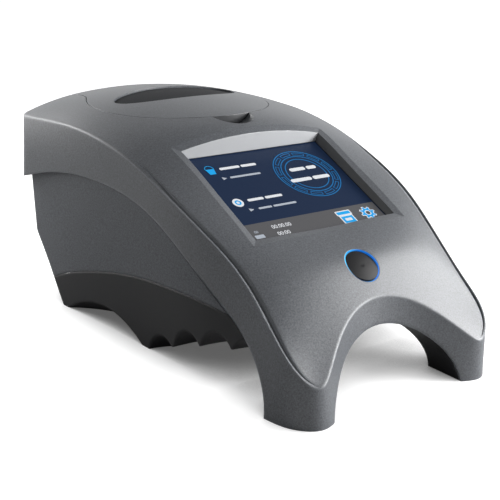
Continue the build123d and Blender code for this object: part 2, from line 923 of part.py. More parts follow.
def make_grip_base():
    """Rubber-faced tray: belly, feet, hollows for the hand and the plugs that close the legs."""
    gap = parting_gap
    rise = list(reversed(leg_curve(gap)))
    ends = [(rear_reach_y, under_case_z), (rise[0][0], under_case_z)]
    side = side_block([rise, *grip_curves(-gap)], ends)
    body = body_block() & side & belly_space()
    hollow = (body_block(base_wall) & belly_space(base_wall)) - before_legs(base_wall * 1.5)
    shape = body - hollow_cutters() - (hollow - hollow_cutters(base_wall))
    shape = shape + leg_plugs() + arch_sleeve()
    return base_fittings(shape)


def leg_space():
    """Space inside the legs of the cover that the base may fill."""
    inside = case_block(cover_wall + fit_gap, nose_wall + fit_gap) & crown_block(crown_wall + fit_gap)
    above_bench = box_between((-case_reach, front_reach_y, 0), (case_reach, 0, sky_z))
    return inside & before_legs(leg_plug_overlap) & above_bench


def leg_plugs():
    """Foot block of each leg and the wall behind it, with the arch left open."""
    foot = box_between((-case_reach, front_reach_y, 0), (case_reach, 0, leg_plug_z))
    wall = leg_space() - before_legs(-leg_plug_depth)
    return ((leg_space() & foot) + wall) - arch_block()


def arch_sleeve():
    """Black lining of the arch between the legs."""
    return (arch_block(arch_lining) - arch_block()) & leg_space()


def base_fittings(shape):
    """Screw columns and board posts of the base, with the holes for the screws."""
    for x, y in case_columns():
        shape = shape + rod(column_radius, 1.0, column_seat_z - parting_gap, x, y)
    for x, y in board_holes():
        shape = shape + (rod(board_post_radius, 0.0, board_z, x, y) & belly_space(1.0))
    for x, y in case_columns():
        shape = shape - rod(screw_radius + screw_clearance, -1, 60, x, y)
        shape = shape - rod(screw_head_radius + fit_gap, -1, screw_recess_depth, x, y)
    for side in (-1, 1):
        x = side * leg_screw_x
        shape = shape - rod(screw_radius + screw_clearance, -1, 30, x, leg_screw_y)
        shape = shape - rod(screw_head_radius + fit_gap, -1, leg_seat_z, x, leg_screw_y)
    for x, y in board_holes():
        shape = shape - rod(board_screw_radius, board_z - board_screw_length + 1.0, board_z + 5, x, y)
    return shape


def board_holes():
    """Places of the four screws of the main board."""
    ys = (board_front_y + board_hole_inset, board_back_y - board_hole_inset)
    return [(side * (board_half_width - board_hole_inset), y) for side in (-1, 1) for y in ys]


def flat_screw(radius, head_radius, head_height, length):
    """Screw along its own Z, head at the bottom, seat of the head at zero."""
    shank = Pos(0, 0, length / 2) * Cylinder(radius, length)
    head = Pos(0, 0, -head_height / 2) * Cylinder(head_radius, head_height)
    slot = Pos(0, 0, -head_height) * Box(head_radius * 1.3, 0.6, 0.8)
    return head + shank - slot


def make_lid():
    """Lid: crowned shell on a rim, label recess and hinge barrel."""
    blank = extrude(Pos(0, 0, lid_bottom_z) * lid_outline(rear=tab_reach), 30)
    shape = (blank + barrel()) & crown_block() & case_block()
    rim = lid_radius - lid_wall
    shape = shape - rod(rim, lid_bottom_z - 1, lid_bottom_z + liner_thickness, 0, lid_y)
    inner = rod(rim - lid_rim_step, lid_bottom_z, sky_z, 0, lid_y) & crown_block(lid_crown_wall)
    shape = shape - inner
    oval = Pos(0, label_y, label_low_z) * extrude(Ellipse(label_half_length, label_half_depth), label_block)
    shape = shape - (oval - crown_block(label_recess))
    for x in (-1, 1):
        pin = Pos(x * tab_half, hinge_y, hinge_z) * Rot(0, 90, 0)
        shape = shape - pin * Cylinder(hinge_pin_radius + pin_gap, hinge_pin_length)
    return shape - neck_relief()


def make_label_plate():
    """Bare oval plate in the recess of the lid."""
    oval = Ellipse(label_half_length - label_gap, label_half_depth - label_gap)
    block = Pos(0, label_y, label_low_z) * extrude(oval, label_block)
    return (block & crown_block(label_recess - label_thickness)) - crown_block(label_recess)


def make_lid_liner():
    """Dark plate under the lid with a light trap that dips into the chamber."""
    radius = lid_radius - lid_wall - liner_gap
    plate = rod(radius, lid_bottom_z, lid_bottom_z + liner_thickness, 0, lid_y)
    outer = chamber_radius - trap_inset
    trap = rod(outer, lid_bottom_z - trap_depth, lid_bottom_z, 0, chamber_y)
    return plate + (trap - rod(outer - trap_wall, 0, lid_bottom_z, 0, chamber_y))


def make_lid_gasket():
    """Rubber ring on the rim of the chamber."""
    top = lid_bottom_z - fit_gap
    ring = rod(chamber_radius + chamber_wall - gasket_gap, well_floor_z, top, 0, chamber_y)
    return ring - rod(chamber_radius + gasket_gap, 0, sky_z, 0, chamber_y)


def make_hinge_pins():
    """Two steel pins, each from an ear of the cover into the barrel of the lid."""
    pins = []
    for side in (-1, 1):
        x = side * (tab_half + tab_gap + pin_shift)
        pin = Pos(x, hinge_y, hinge_z) * Rot(0, 90, 0) * Cylinder(hinge_pin_radius, hinge_pin_length - 1.0)
        pins.append(pin)
    return Compound(pins)


def make_power_button():
    """Domed cap with a retaining flange and a stem."""
    radius = button_hole_radius - ring_width - button_edge_gap
    low = -(ring_depth + button_lift)
    cap = Pos(0, 0, (low - button_recess) / 2) * Cylinder(radius, -button_recess - low)
    ball_radius = (radius**2 + button_dome**2) / (2 * button_dome)
    ball = Pos(0, 0, -button_recess + button_dome - ball_radius) * Sphere(ball_radius)
    dome = ball & (Pos(0, 0, -button_recess + 1) * Cylinder(radius, 2.0))
    flange_low = low - button_flange_thickness
    flange = rod(radius + button_flange_width, flange_low, low)
    stem = Pos(0, 0, flange_low - stem_length / 2) * Cylinder(stem_radius, stem_length)
    return button_place() * (cap + dome + flange + stem)


def make_light_ring():
    """Clear ring round the button with a flange behind the cover."""
    inner = button_hole_radius - ring_width
    outer = button_hole_radius - ring_gap
    tube = Pos(0, 0, -ring_depth / 2 + 2) * Cylinder(outer, ring_depth + 4)
    flange_high = -ring_depth + ring_flange_thickness
    flange = Pos(0, 0, -ring_depth + ring_flange_thickness / 2)
    flange = flange * Cylinder(ring_flange_radius, ring_flange_thickness)
    shape = tube + flange - Cylinder(inner, 40)
    return (button_place() * shape) & crown_block(ring_drop)


def switch_levels():
    """Heights of the switch and its board under the button, in the frame of the button."""
    stem_low = -(ring_depth + button_lift + button_flange_thickness + stem_length)
    top = stem_low - button_travel - button_lift
    return top, top - switch_height


def make_button_switch():
    """Tact switch under the stem."""
    top, low = switch_levels()
    body = flat_box(switch_size / 2, switch_size / 2, low, top - plunger_rise)
    plunger = rod(plunger_radius, top - plunger_height, top)
    return button_place() * (body + plunger)


def make_button_board():
    """Small board that carries the switch and is held on two posts of the cover."""
    low = switch_levels()[1]
    half = button_post_x + button_board_margin
    board = flat_box(half, button_board_half, low - button_board_thickness, low)
    return button_place() * board


def make_touch_glass():
    """Cover glass of the display."""
    return display_place() * flat_box(
        display_half_width + glass_overlap, display_half_height + glass_overlap, -glass_thickness, 0.0
    )


def make_display_gasket():
    """Soft frame between the glass and the window."""
    half_x = display_half_width + glass_overlap
    half_y = display_half_height + glass_overlap
    ring = flat_box(half_x, half_y, 0.0, gasket_thickness)
    hole = flat_box(half_x - gasket_width, half_y - gasket_width, -1.0, 2.0)
    return display_place() * (ring - hole)


def make_lcd_panel():
    """Panel behind the glass."""
    half_x = display_half_width + glass_overlap - lcd_inset
    half_y = display_half_height + glass_overlap - lcd_inset
    return display_place() * flat_box(half_x, half_y, -glass_thickness - lcd_thickness, -glass_thickness)


def bracket_levels():
    """Underside and inner floor of the display bracket."""
    floor = -glass_thickness - lcd_thickness
    return floor - bracket_floor, floor


def make_display_bracket():
    """Tray that clamps glass and panel to the frame of the window."""
    low, floor = bracket_levels()
    half_x = display_half_width + glass_overlap + bracket_gap
    half_y = display_half_height + glass_overlap + bracket_gap
    high = gasket_thickness - parting_gap
    tray = flat_box(half_x + bracket_wall, half_y + bracket_wall, low, high)
    for x, y in display_ears():
        tray = tray + rod(display_ear_radius, low, display_ear_top, x, y)
        bridge = Box(bracket_bridge, bracket_bridge + 1, display_ear_top - low)
        tray = tray + Pos(x * 0.96, y, (low + display_ear_top) / 2) * bridge
    tray = tray - flat_box(half_x, half_y, floor, 5.0)
    tray = tray - flat_box(half_x - bracket_rim, half_y - bracket_rim, low - 1, 5.0)
    for x, y in display_ears():
        tray = tray - Pos(x, y, 0) * Cylinder(display_screw_radius + 0.15, 30)
    return display_place() * tray


def make_display_screws():
    """Four screws of the display bracket."""
    low = bracket_levels()[0]
    screw = flat_screw(display_screw_radius, *display_head, display_screw_tip - low)
    return Compound([display_place() * Pos(x, y, low) * screw for x, y in display_ears()])


def make_disc_chamber():
    """Round tub for the disc, with a flange under the lid well and a slot for the optics."""
    outer = chamber_radius + chamber_wall
    top = well_floor_z - well_floor_thickness
    shape = rod(outer, chamber_floor_z - chamber_wall, well_floor_z, 0, chamber_y)
    flange = rod(chamber_flange_radius, top - chamber_flange, top, 0, chamber_y)
    half = chamber_flange_half
    shape = shape + (flange & box_between((-50, chamber_y - half, 0), (50, chamber_y + half, 100)))
    shape = shape - rod(chamber_radius, chamber_floor_z, well_floor_z + 1, 0, chamber_y)
    shape = shape - rod(bearing_radius, 0, 100, 0, chamber_y)
    for x, y in chamber_screw_places():
        shape = shape - rod(chamber_screw_radius + 0.1, 75, 100, x, y)
    for x, y in motor_screw_places():
        shape = shape - rod(motor_screw_radius + 0.1, 50, chamber_floor_z + 1, x, y)
        shape = shape - rod(motor_head_radius + 0.2, motor_seat_z, chamber_floor_z + 1, x, y)
    low = chamber_floor_z + optics_rise
    half = window_width / 2 - 1
    front = (-half, chamber_y - outer - 3, low + 1)
    return shape - box_between(front, (half, chamber_y - chamber_radius + 4, low + window_height - 1))


def chamber_screw_places():
    """Places of the four screws of the chamber."""
    xs = (-chamber_screw_x, chamber_screw_x)
    ys = (chamber_y - chamber_screw_y, chamber_y + chamber_screw_y)
    return [(x, y) for x in xs for y in ys]


def motor_screw_places():
    """Places of the three screws of the motor."""
    places = []
    for index in range(3):
        angle = math.radians(30 + 120 * index)
        x = motor_screw_circle * math.cos(angle)
        places.append((x, chamber_y + motor_screw_circle * math.sin(angle)))
    return places


def make_chamber_screws():
    """Four screws that hold the chamber up to the cover."""
    seat = well_floor_z - well_floor_thickness - chamber_flange
    screw = flat_screw(chamber_screw_radius, *chamber_head, chamber_screw_length)
    return Compound([Pos(x, y, seat) * screw for x, y in chamber_screw_places()])


def make_spin_motor():
    """Motor under the floor of the chamber."""
    top = chamber_floor_z - chamber_wall
    can = rod(motor_radius, top - motor_height, top, 0, chamber_y)
    can = fillet(can.edges().filter_by(GeomType.CIRCLE).sort_by(Axis.Z)[0], motor_edge_radius)
    low = top - motor_height
    can = can + rod(motor_boss_radius, low - motor_boss_height, low, 0, chamber_y)
    can = can - rod(shaft_radius + pin_gap, top - shaft_in_motor - 0.5, top + 1, 0, chamber_y)
    for x, y in motor_screw_places():
        can = can - rod(motor_screw_radius, motor_seat_z - motor_screw_length - 0.4, top + 1, x, y)
    return can


def make_motor_screws():
    """Three screws through the floor of the chamber into the motor."""
    screw = flat_screw(motor_screw_radius, motor_head_radius, motor_head_height, motor_screw_length)
    screw = Rot(180, 0, 0) * screw
    return Compound([Pos(x, y, motor_seat_z) * screw for x, y in motor_screw_places()])


def make_spindle_bearing():
    """Bearing of the spindle in the floor of the chamber."""
    ring = rod(bearing_radius, chamber_floor_z - chamber_wall, chamber_floor_z + 0.3, 0, chamber_y)
    return ring - rod(shaft_radius + pin_gap, 0, 100, 0, chamber_y)


def make_spindle_shaft():
    """Shaft from the motor to the hub."""
    top = chamber_floor_z - chamber_wall
    high = chamber_floor_z + hub_gap + hub_height - hub_cap
    return rod(shaft_radius, top - shaft_in_motor, high, 0, chamber_y)


def make_disc_hub():
    """Hub with one flat side, so that the disc seats in one way only."""
    low = chamber_floor_z + hub_gap
    hub = rod(hub_radius, low + hub_flange, low + hub_height, 0, chamber_y)
    hub = chamfer(hub.edges().filter_by(GeomType.CIRCLE).sort_by(Axis.Z)[-1], hub_chamfer)
    hub = hub & box_between((-case_reach, 0, 0), (hub_flat_x, sky_z, sky_z))
    hub = hub + rod(hub_radius + hub_flange_width, low, low + hub_flange, 0, chamber_y)
    return hub - rod(shaft_radius, 0, low + hub_height - hub_cap, 0, chamber_y)


def optics_front():
    """Front of the optics block, measured back from the wall of the chamber."""
    outer = chamber_radius + chamber_wall
    return chamber_y - math.sqrt(outer**2 - (optics_width / 2) ** 2) - optics_depth


def window_seat():
    """Front and rear of the glass strip between the chamber and the lamps."""
    rear = chamber_y - chamber_radius - chamber_wall - 0.1
    return rear - window_thickness, rear


def make_optics_block():
    """Black housing of lamps and detectors against the front of the chamber."""
    low = chamber_floor_z - chamber_wall
    front = optics_front()
    half = optics_width / 2
    shape = box_between((-half, front, low), (half, chamber_y, low + optics_height))
    shape = shape - rod(chamber_radius + chamber_wall + 0.05, 0, 100, 0, chamber_y)
    seat = window_seat()
    half = window_width / 2
    z = chamber_floor_z + optics_rise
    shape = shape - box_between((-half, seat[0] - 0.1, z), (half, seat[1] + 2, z + window_height))
    for index in range(lamp_count):
        x = (index - (lamp_count - 1) / 2) * lamp_pitch
        bore = Rot(90, 0, 0) * Cylinder(lamp_radius, lamp_depth)
        shape = shape - Pos(x, front + 4, z + window_height / 2) * bore
    return shape


def make_optics_window():
    """Glass strip between the chamber and the lamps."""
    seat = window_seat()
    half = window_width / 2 - 0.1
    z = chamber_floor_z + optics_rise
    return box_between((-half, seat[0], z + 0.1), (half, seat[1], z + window_height - 0.1))


def make_optics_board():
    """Board with lamps and detectors at the front of the optics block."""
    low = chamber_floor_z - chamber_wall + 0.5
    half = optics_width / 2 - 1
    front = optics_front()
    high = low + optics_height - 1.0
    return box_between((-half, front - optics_board_thickness, low), (half, front, high))


def make_main_board():
    """Main board with its processor, a shield and connectors."""
    shape = box_between((-board_half_width, board_front_y, board_z),
                        (board_half_width, board_back_y, board_z + board_thickness))
    top = board_z + board_thickness
    for low_x, low_y, high_x, high_y, height in board_blocks:
        shape = shape + box_between((low_x, low_y, top), (high_x, high_y, top + height))
    for x, y in board_holes():
        shape = shape - rod(board_screw_radius + 0.15, 0, 100, x, y)
    return shape


def make_board_screws():
    """Four screws of the main board, heads up."""
    screw = Rot(180, 0, 0) * flat_screw(board_screw_radius, *board_head, board_screw_length)
    return Compound([Pos(x, y, board_z + board_thickness) * screw for x, y in board_holes()])


def make_battery():
    """Flat battery pack on the floor of the base."""
    pack = box_between((-battery_half_width, battery_front_y, base_wall),
                       (battery_half_width, battery_back_y, base_wall + battery_height))
    return fillet(pack.edges().filter_by(Axis.Y), 2.5)


def make_battery_clamp():
    """Strap over the battery with feet on the floor of the base."""
    top = base_wall + battery_height
    middle = (battery_front_y + battery_back_y) / 2
    half = battery_half_width + clamp_gap
    front = middle - clamp_width / 2
    rear = middle + clamp_width / 2
    wide = half + clamp_thickness
    outer = box_between((-wide, front, base_wall), (wide, rear, top + clamp_thickness))
    outer = outer - box_between((-half, 0, 0), (half, sky_z, top + parting_gap))
    foot = half + clamp_foot
    feet = box_between((-foot, front, base_wall), (foot, rear, base_wall + clamp_thickness))
    return outer + (feet - box_between((-half, 0, 0), (half, sky_z, sky_z)))


def port_face_y():
    """Y of the rear wall of the lower body at the port."""
    share = port_z / body_high_z
    corner = body_rear_corner_low_y + (body_rear_corner_y - body_rear_corner_low_y) * share
    return corner + body_rear_bulge * (1 - (port_x / body_rear_half) ** 2) - panel_step


def make_usb_port():
    """Metal shell of the port in the rear wall."""
    face = port_face_y() - port_inset
    half = port_half_width
    low = port_z - port_half_height
    high = port_z + port_half_height
    shell = box_between((port_x - half, face - port_depth, low), (port_x + half, face, high))
    inner = half - port_shell
    mouth = (port_x - inner, face - port_mouth, low + port_shell)
    hole = box_between(mouth, (port_x + inner, face + 1, high - port_shell))
    thin = tongue_thickness / 2
    root = (port_x - tongue_half, face - port_mouth - port_shell, port_z - thin)
    tongue = box_between(root, (port_x + tongue_half, face - 1.2, port_z + thin))
    return shell - hole + tongue


def make_port_board():
    """Board of the port on its shelf."""
    top = port_z - port_half_height
    face = port_face_y()
    low = (port_x - port_board_half, face - port_board_depth, top - port_board_thickness)
    return box_between(low, (port_x + port_board_half, face - housing_wall - port_board_gap, top))


def make_case_screws():
    """Four long screws through the base and two short ones in the legs."""
    long_screw = flat_screw(screw_radius, screw_head_radius, screw_head_height, screw_length)
    short_screw = flat_screw(screw_radius, screw_head_radius, screw_head_height, leg_screw_length)
    screws = [Pos(x, y, screw_recess_depth) * long_screw for x, y in case_columns()]
    for side in (-1, 1):
        screws.append(Pos(side * leg_screw_x, leg_screw_y, leg_seat_z) * short_screw)
    return Compound(screws)


def main():
    """Build every node and write it."""
    save(make_top_cover(), "top_cover")
    save(make_lower_housing(), "lower_housing")
    save(make_grip_base(), "grip_base")
    save(make_lid(), "lid")
    save(make_label_plate(), "label_plate")
    save(make_lid_liner(), "lid_liner")
    save(make_lid_gasket(), "lid_gasket")
    save(make_hinge_pins(), "hinge_pins")
    save(make_power_button(), "power_button")
    save(make_light_ring(), "light_ring")
    save(make_button_switch(), "button_switch")
    save(make_button_board(), "button_board")
    save(make_touch_glass(), "touch_glass")
    save(make_display_gasket(), "display_gasket")
    save(make_lcd_panel(), "lcd_panel")
    save(make_display_bracket(), "display_bracket")
    save(make_display_screws(), "display_screws")
    save(make_disc_chamber(), "disc_chamber")
    save(make_chamber_screws(), "chamber_screws")
    save(make_spin_motor(), "spin_motor")
    save(make_motor_screws(), "motor_screws")
    save(make_spindle_bearing(), "spindle_bearing")
    save(make_spindle_shaft(), "spindle_shaft")
    save(make_disc_hub(), "disc_hub")
    save(make_optics_block(), "optics_block")
    save(make_optics_window(), "optics_window")
    save(make_optics_board(), "optics_board")
    save(make_main_board(), "main_board")
    save(make_board_screws(), "board_screws")
    save(make_battery(), "battery")
    save(make_battery_clamp(), "battery_clamp")
    save(make_usb_port(), "usb_port")
    save(make_port_board(), "port_board")
    save(make_case_screws(), "case_screws")


main()
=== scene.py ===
"""Finishes, screen and studio of a bench photometer with a hinged lid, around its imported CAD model."""

import math

import bmesh
import bpy
import numpy as np
from bpy.props import FloatProperty, FloatVectorProperty, PointerProperty
from bpy.types import Operator, Panel, PropertyGroup
from mathutils import Matrix, Vector


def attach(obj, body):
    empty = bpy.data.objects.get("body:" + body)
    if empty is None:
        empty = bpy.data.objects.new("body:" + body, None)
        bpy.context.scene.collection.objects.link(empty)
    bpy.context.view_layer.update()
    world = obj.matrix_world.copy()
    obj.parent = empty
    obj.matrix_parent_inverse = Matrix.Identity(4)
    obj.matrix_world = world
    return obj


bl_info = {
    "name": "Photometer finishes",
    "version": (1, 0, 0),
    "blender": (4, 5, 0),
    "location": "3D View > Sidebar > Photometer",
    "description": "Finishes, lit screen and studio of a bench photometer",
    "category": "Object",
}

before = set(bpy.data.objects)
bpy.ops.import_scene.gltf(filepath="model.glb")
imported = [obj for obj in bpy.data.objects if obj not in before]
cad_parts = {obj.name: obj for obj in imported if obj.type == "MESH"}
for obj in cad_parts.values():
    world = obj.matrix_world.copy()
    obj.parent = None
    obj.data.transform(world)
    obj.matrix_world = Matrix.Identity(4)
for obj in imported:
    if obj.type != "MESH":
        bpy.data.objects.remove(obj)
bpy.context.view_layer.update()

MM = 0.001

# Sloping tail under the rear wall: foot, middle and top (y, z) of its side profile, in millimetres
TAIL_PROFILE = ((71.0, 11.94), (84.0, 26.79), (97.0, 39.12))

# Height of the tail's panel over that profile in millimetres, and power of x that bows its upper edge
TAIL_INSET = 0.2
TAIL_BOW_POWER = 1.62

# Display: middle of the glass and its lean, as in the part's source
GLASS_MIDDLE = (0.0, -26.2 * MM, 69.7 * MM)
GLASS_LEAN = math.radians(24.6)

# Power button: middle of its lit ring, and the ways along which the ring's light runs (way, low, high)
RING_MIDDLE = (0.0, -76.2 * MM, 49.0 * MM)
RING_RUNS = (((1.0, 0.0, 0.0), -0.8, 0.4), ((0.66, 0.61, 0.43), -0.9, -0.3))

# Zones of crisp edges (half width, front) in millimetres: round the display and lid, and round the button
CRISP_ZONES = ((46.0, -58.0), (11.0, -84.0))

# Walls of the display's pocket, with a painted highlight on the upper wall and painted shade on the side
# walls, in millimetres: lower end of the upper wall, half width, front and rear
POCKET_TOP_Z = 80.0
POCKET_HALF_WIDTH = 42.0
POCKET_FRONT_Y = -58.0
POCKET_REAR_Y = 6.0

# Rear limit of the lid's finger notch, whose wall gets painted shade, in millimetres, and the least facing
# (cosine) of a wall with painted light
NOTCH_REAR_Y = 24.0
WALL_LEAST_FACING = 0.8

# Places on the glass (x, up the lean) in millimetres: the four icons and the large ring
CUP_TOP = (-28.7, 19.4)
DISC_ICON = (-28.7, -3.4)
BOX_ICON = (16.6, -20.5)
GEAR_ICON = (29.1, -23.1)
LARGE_RING = (17.2, 7.6)
GEAR_TEETH = 8

# Large ring in millimetres: its circles, then its chain's links with their line, turn and ends in radians
RING_CIRCLES = (16.0, 12.4, 10.4)
RING_LINKS = 12
LINK_RADII = (13.1, 14.6)
LINK_LINE = 0.3
LINK_SWEEP = 0.42
LINK_END = 0.02

# Bars in place of words, in millimetres: start (x, up the lean), widths of the words and height
TITLE_BARS = (
    ((-23.8, 18.7), (10.6, 8.2), 1.5),
    ((-23.4, -3.0), (8.4, 9.2), 1.5),
    ((9.8, 11.2), (8.6, 5.4), 2.1),
    ((5.6, 4.2), (11.6, 9.4), 2.1),
)
DETAIL_BARS = (
    ((-22.2, 12.5), (16.4,), 1.1),
    ((-21.5, -8.8), (7.0, 12.4), 1.1),
)
WORD_GAP = 0.9

# Numerals (text, height, middle) in millimetres, and the height of the font over that of its figures
TITLE_NUMERALS = (("00.00.00", 2.1, (-18.0, -20.9)), ("00:00", 2.1, (-19.6, -25.2)))
DETAIL_NUMERALS = (("00", 1.4, (-32.0, -22.0)),)
FONT_SHARE = 1.42

# Lit panel: pitch of its pixel grid
PIXEL_PITCH = 0.24 * MM

# Mouldings: share and tone of the slow clouds, and tone of the painted highlight on edges and in grooves,
# over the base colour
CLOUD_SHARE = 0.12
CLOUD_TONE = 0.6
EDGE_HIGHLIGHT_TONE = 3.4


def colour(name, description, default):
    """Colour property with three channels."""
    return FloatVectorProperty(name=name, description=description, default=default, size=3,
                               min=0.0, max=1.0, subtype="COLOR")


def length(name, description, default):
    """Length property in metres."""
    return FloatProperty(name=name, description=description, default=default, min=0.0,
                         unit="LENGTH", subtype="DISTANCE")


class PhotometerSizes(PropertyGroup):
    """Sizes of the printed screen and of surface detail."""

    edge_radius: length("Edge radius", "Softness of the moulded edges", 1.8 * MM)
    crisp_radius: length("Crisp radius", "Softness round the display, lid and button", 0.35 * MM)
    grain: length("Grain", "Size of the spark-eroded grain on the mouldings", 0.62 * MM)
    half_width: length("Half width", "Half width of the lit screen", 36.4 * MM)
    half_height: length("Half height", "Half height of the lit screen", 27.3 * MM)
    bar_height: length("Bar height", "Height of the grey bar at the foot of the screen", 10.3 * MM)
    film: length("Film", "Thickness of the marks on the screen", 0.06 * MM)
    line: length("Line", "Width of the rings' lines", 0.45 * MM)
    tail_width: length("Tail width", "Half width of the panel that closes the tail", 58.0 * MM)
    tail_front: length("Tail front", "Lower edge of that panel, along Y", 70.95 * MM)
    tail_rear: length("Tail rear", "Upper edge of that panel on the middle line, along Y", 97.2 * MM)
    tail_bow: length("Tail bow", "How far that edge comes forward at the sides", 9.0 * MM)
    tail_wall: length("Tail wall", "Thickness of that panel", 2.0 * MM)


class PhotometerColours(PropertyGroup):
    """Colours of the finishes."""

    case: colour("Case", "Blue-grey plastic of the case", (0.126, 0.134, 0.147))
    # Painted highlight: the pocket's upper wall is painted pale in place of the light it catches.
    wall: colour("Wall", "Pale upper wall of the display's pocket", (0.4, 0.41, 0.425))
    # Painted shade: the lid's notch wall and the pocket's side walls are painted dark where shade falls.
    notch: colour("Notch", "Dark wall of the lid's finger notch", (0.035, 0.037, 0.041))
    grip: colour("Grip", "Black rubber of the grip", (0.0095, 0.0095, 0.011))
    label: colour("Label", "Bare plate in the lid", (0.03, 0.031, 0.034))
    screen: colour("Screen", "Ground of the lit screen", (0.014, 0.027, 0.064))
    bar: colour("Bar", "Bar at the foot of the screen", (0.095, 0.095, 0.1))
    icon: colour("Icon", "Blue of the screen icons", (0.015, 0.33, 0.72))
    ring: colour("Ring", "Blue of the large ring on the screen", (0.012, 0.13, 0.33))
    white: colour("White", "Titles on the screen", (0.72, 0.74, 0.77))
    pale: colour("Pale", "Second lines on the screen", (0.42, 0.46, 0.52))
    glow: colour("Glow", "Light at the left of the power button", (0.05, 0.42, 0.75))
    deep_glow: colour("Deep glow", "Light at its right", (0.01, 0.13, 0.5))


def sizes():
    """Sizes of this scene."""
    return bpy.context.scene.photometer_sizes


def colours():
    """Colours of this scene."""
    return bpy.context.scene.photometer_colours


def rgba(values, share=1.0):
    """Colour with alpha, scaled by a share."""
    return (values[0] * share, values[1] * share, values[2] * share, 1.0)


def new_node(tree, kind, label=None, **settings):
    """Node of a kind with its plain settings."""
    node = tree.nodes.new(kind)
    for key, value in settings.items():
        setattr(node, key, value)
    if label:
        node.label = label
    return node


def wire(tree, source, target):
    """Link two sockets."""
    tree.links.new(source, target)


def maths(tree, operation, first, second, clamp=False):
    """Maths node fed by sockets or numbers; gives its output."""
    node = new_node(tree, "ShaderNodeMath", operation=operation, use_clamp=clamp)
    for socket, value in zip(node.inputs, (first, second)):
        if isinstance(value, (int, float)):
            socket.default_value = value
        else:
            wire(tree, value, socket)
    return node.outputs[0]


def mixed(tree, factor, first, second, blend="MIX"):
    """Colour mix fed by sockets, colours or numbers; gives its output."""
    node = new_node(tree, "ShaderNodeMix", data_type="RGBA", blend_type=blend)
    for socket, value in ((node.inputs[0], factor), (node.inputs[6], first), (node.inputs[7], second)):
        if isinstance(value, (int, float, tuple)):
            socket.default_value = value
        else:
            wire(tree, value, socket)
    return node.outputs[2]


def dot_product(tree, vector, way):
    """Dot product of a vector's socket with another socket or a plain vector; gives its output."""
    node = new_node(tree, "ShaderNodeVectorMath", operation="DOT_PRODUCT")
    wire(tree, vector, node.inputs[0])
    if isinstance(way, tuple):
        node.inputs[1].default_value = way
    else:
        wire(tree, way, node.inputs[1])
    return node.outputs["Value"]


def axes(tree, vector):
    """Outputs X, Y and Z of a vector's socket."""
    node = new_node(tree, "ShaderNodeSeparateXYZ")
    wire(tree, vector, node.inputs[0])
    return node.outputs


def remapped(tree, value, before, after, label=None):
    """Value carried from a range (low, high) to another one and held within it; gives its output."""
    node = new_node(tree, "ShaderNodeMapRange", label)
    for name, number in zip(("From Min", "From Max", "To Min", "To Max"), before + after):
        node.inputs[name].default_value = number
    wire(tree, value, node.inputs["Value"])
    return node.outputs["Result"]


def seen_by_camera(tree, path):
    """One for the camera's rays, straight or through glass; gives its output."""
    return maths(tree, "MAXIMUM", path.outputs["Is Camera Ray"], path.outputs["Is Transmission Ray"])


def new_group(name, inputs, outputs):
    """Shader node group with named sockets; gives the tree, its input node and its output node."""
    tree = bpy.data.node_groups.new(name, "ShaderNodeTree")
    for label, default in inputs:
        socket = tree.interface.new_socket(name=label, in_out="INPUT", socket_type="NodeSocketFloat")
        socket.default_value = default
    for label, kind in outputs:
        tree.interface.new_socket(name=label, in_out="OUTPUT", socket_type=kind)
    return tree, tree.nodes.new("NodeGroupInput"), tree.nodes.new("NodeGroupOutput")


def grain_group():
    """Grain of a moulding: a height from two noises, and a speckle from the finer one."""
    found = bpy.data.node_groups.get("Moulded grain")
    if found:
        return found
    tree, given, out = new_group(
        "Moulded grain", [("Scale", 2400.0), ("Contrast", 1.0)],
        [("Height", "NodeSocketFloat"), ("Speckle", "NodeSocketFloat"), ("Cloud", "NodeSocketFloat")],
    )
    place = new_node(tree, "ShaderNodeTexCoord")
    fine = new_node(tree, "ShaderNodeTexNoise", "Fine grain")
    fine.inputs["Detail"].default_value = 2.5
    fine.inputs["Roughness"].default_value = 0.62
    wire(tree, place.outputs["Object"], fine.inputs["Vector"])
    wire(tree, given.outputs["Scale"], fine.inputs["Scale"])
    cloud = new_node(tree, "ShaderNodeTexNoise", "Slow change of tone")
    cloud.inputs["Scale"].default_value = 26.0
    cloud.inputs["Detail"].default_value = 3.0
    wire(tree, place.outputs["Object"], cloud.inputs["Vector"])
    centred = maths(tree, "SUBTRACT", fine.outputs[0], 0.5)
    speckle = maths(tree, "MULTIPLY", centred, given.outputs["Contrast"])
    wire(tree, fine.outputs[0], out.inputs["Height"])
    wire(tree, maths(tree, "ADD", speckle, 0.5, clamp=True), out.inputs["Speckle"])
    wire(tree, cloud.outputs[0], out.inputs["Cloud"])
    return tree


def edge_group():
    """Softened edges: the normal averaged within a radius, smaller on the top, and a mask of its turn for
    a painted highlight.
    """
    found = bpy.data.node_groups.get("Soft edges")
    if found:
        return found
    tree, given, out = new_group(
        "Soft edges", [("Radius", 0.001), ("Crisp Radius", 0.001), ("Gain", 2.0)],
        [("Normal", "NodeSocketVector"), ("Edge", "NodeSocketFloat")],
    )
    place = new_node(tree, "ShaderNodeTexCoord")
    parts = axes(tree, place.outputs["Object"])
    aside = maths(tree, "ABSOLUTE", parts["X"], 0.0)
    crisp = []
    for half_width, front in CRISP_ZONES:
        inside = maths(tree, "LESS_THAN", aside, half_width * MM)
        behind = maths(tree, "GREATER_THAN", parts["Y"], front * MM)
        crisp.append(maths(tree, "MULTIPLY", inside, behind))
    less = maths(tree, "SUBTRACT", given.outputs["Radius"], given.outputs["Crisp Radius"])
    taken = maths(tree, "MULTIPLY", less, maths(tree, "MAXIMUM", *crisp))
    bevel = new_node(tree, "ShaderNodeBevel", samples=8)
    wire(tree, maths(tree, "SUBTRACT", given.outputs["Radius"], taken), bevel.inputs["Radius"])
    surface = new_node(tree, "ShaderNodeNewGeometry")
    turned = dot_product(tree, bevel.outputs[0], surface.outputs["Normal"])
    mask = maths(tree, "SUBTRACT", 1.0, turned, clamp=True)
    wire(tree, bevel.outputs[0], out.inputs["Normal"])
    wire(tree, maths(tree, "MULTIPLY", mask, given.outputs["Gain"], clamp=True), out.inputs["Edge"])
    return tree


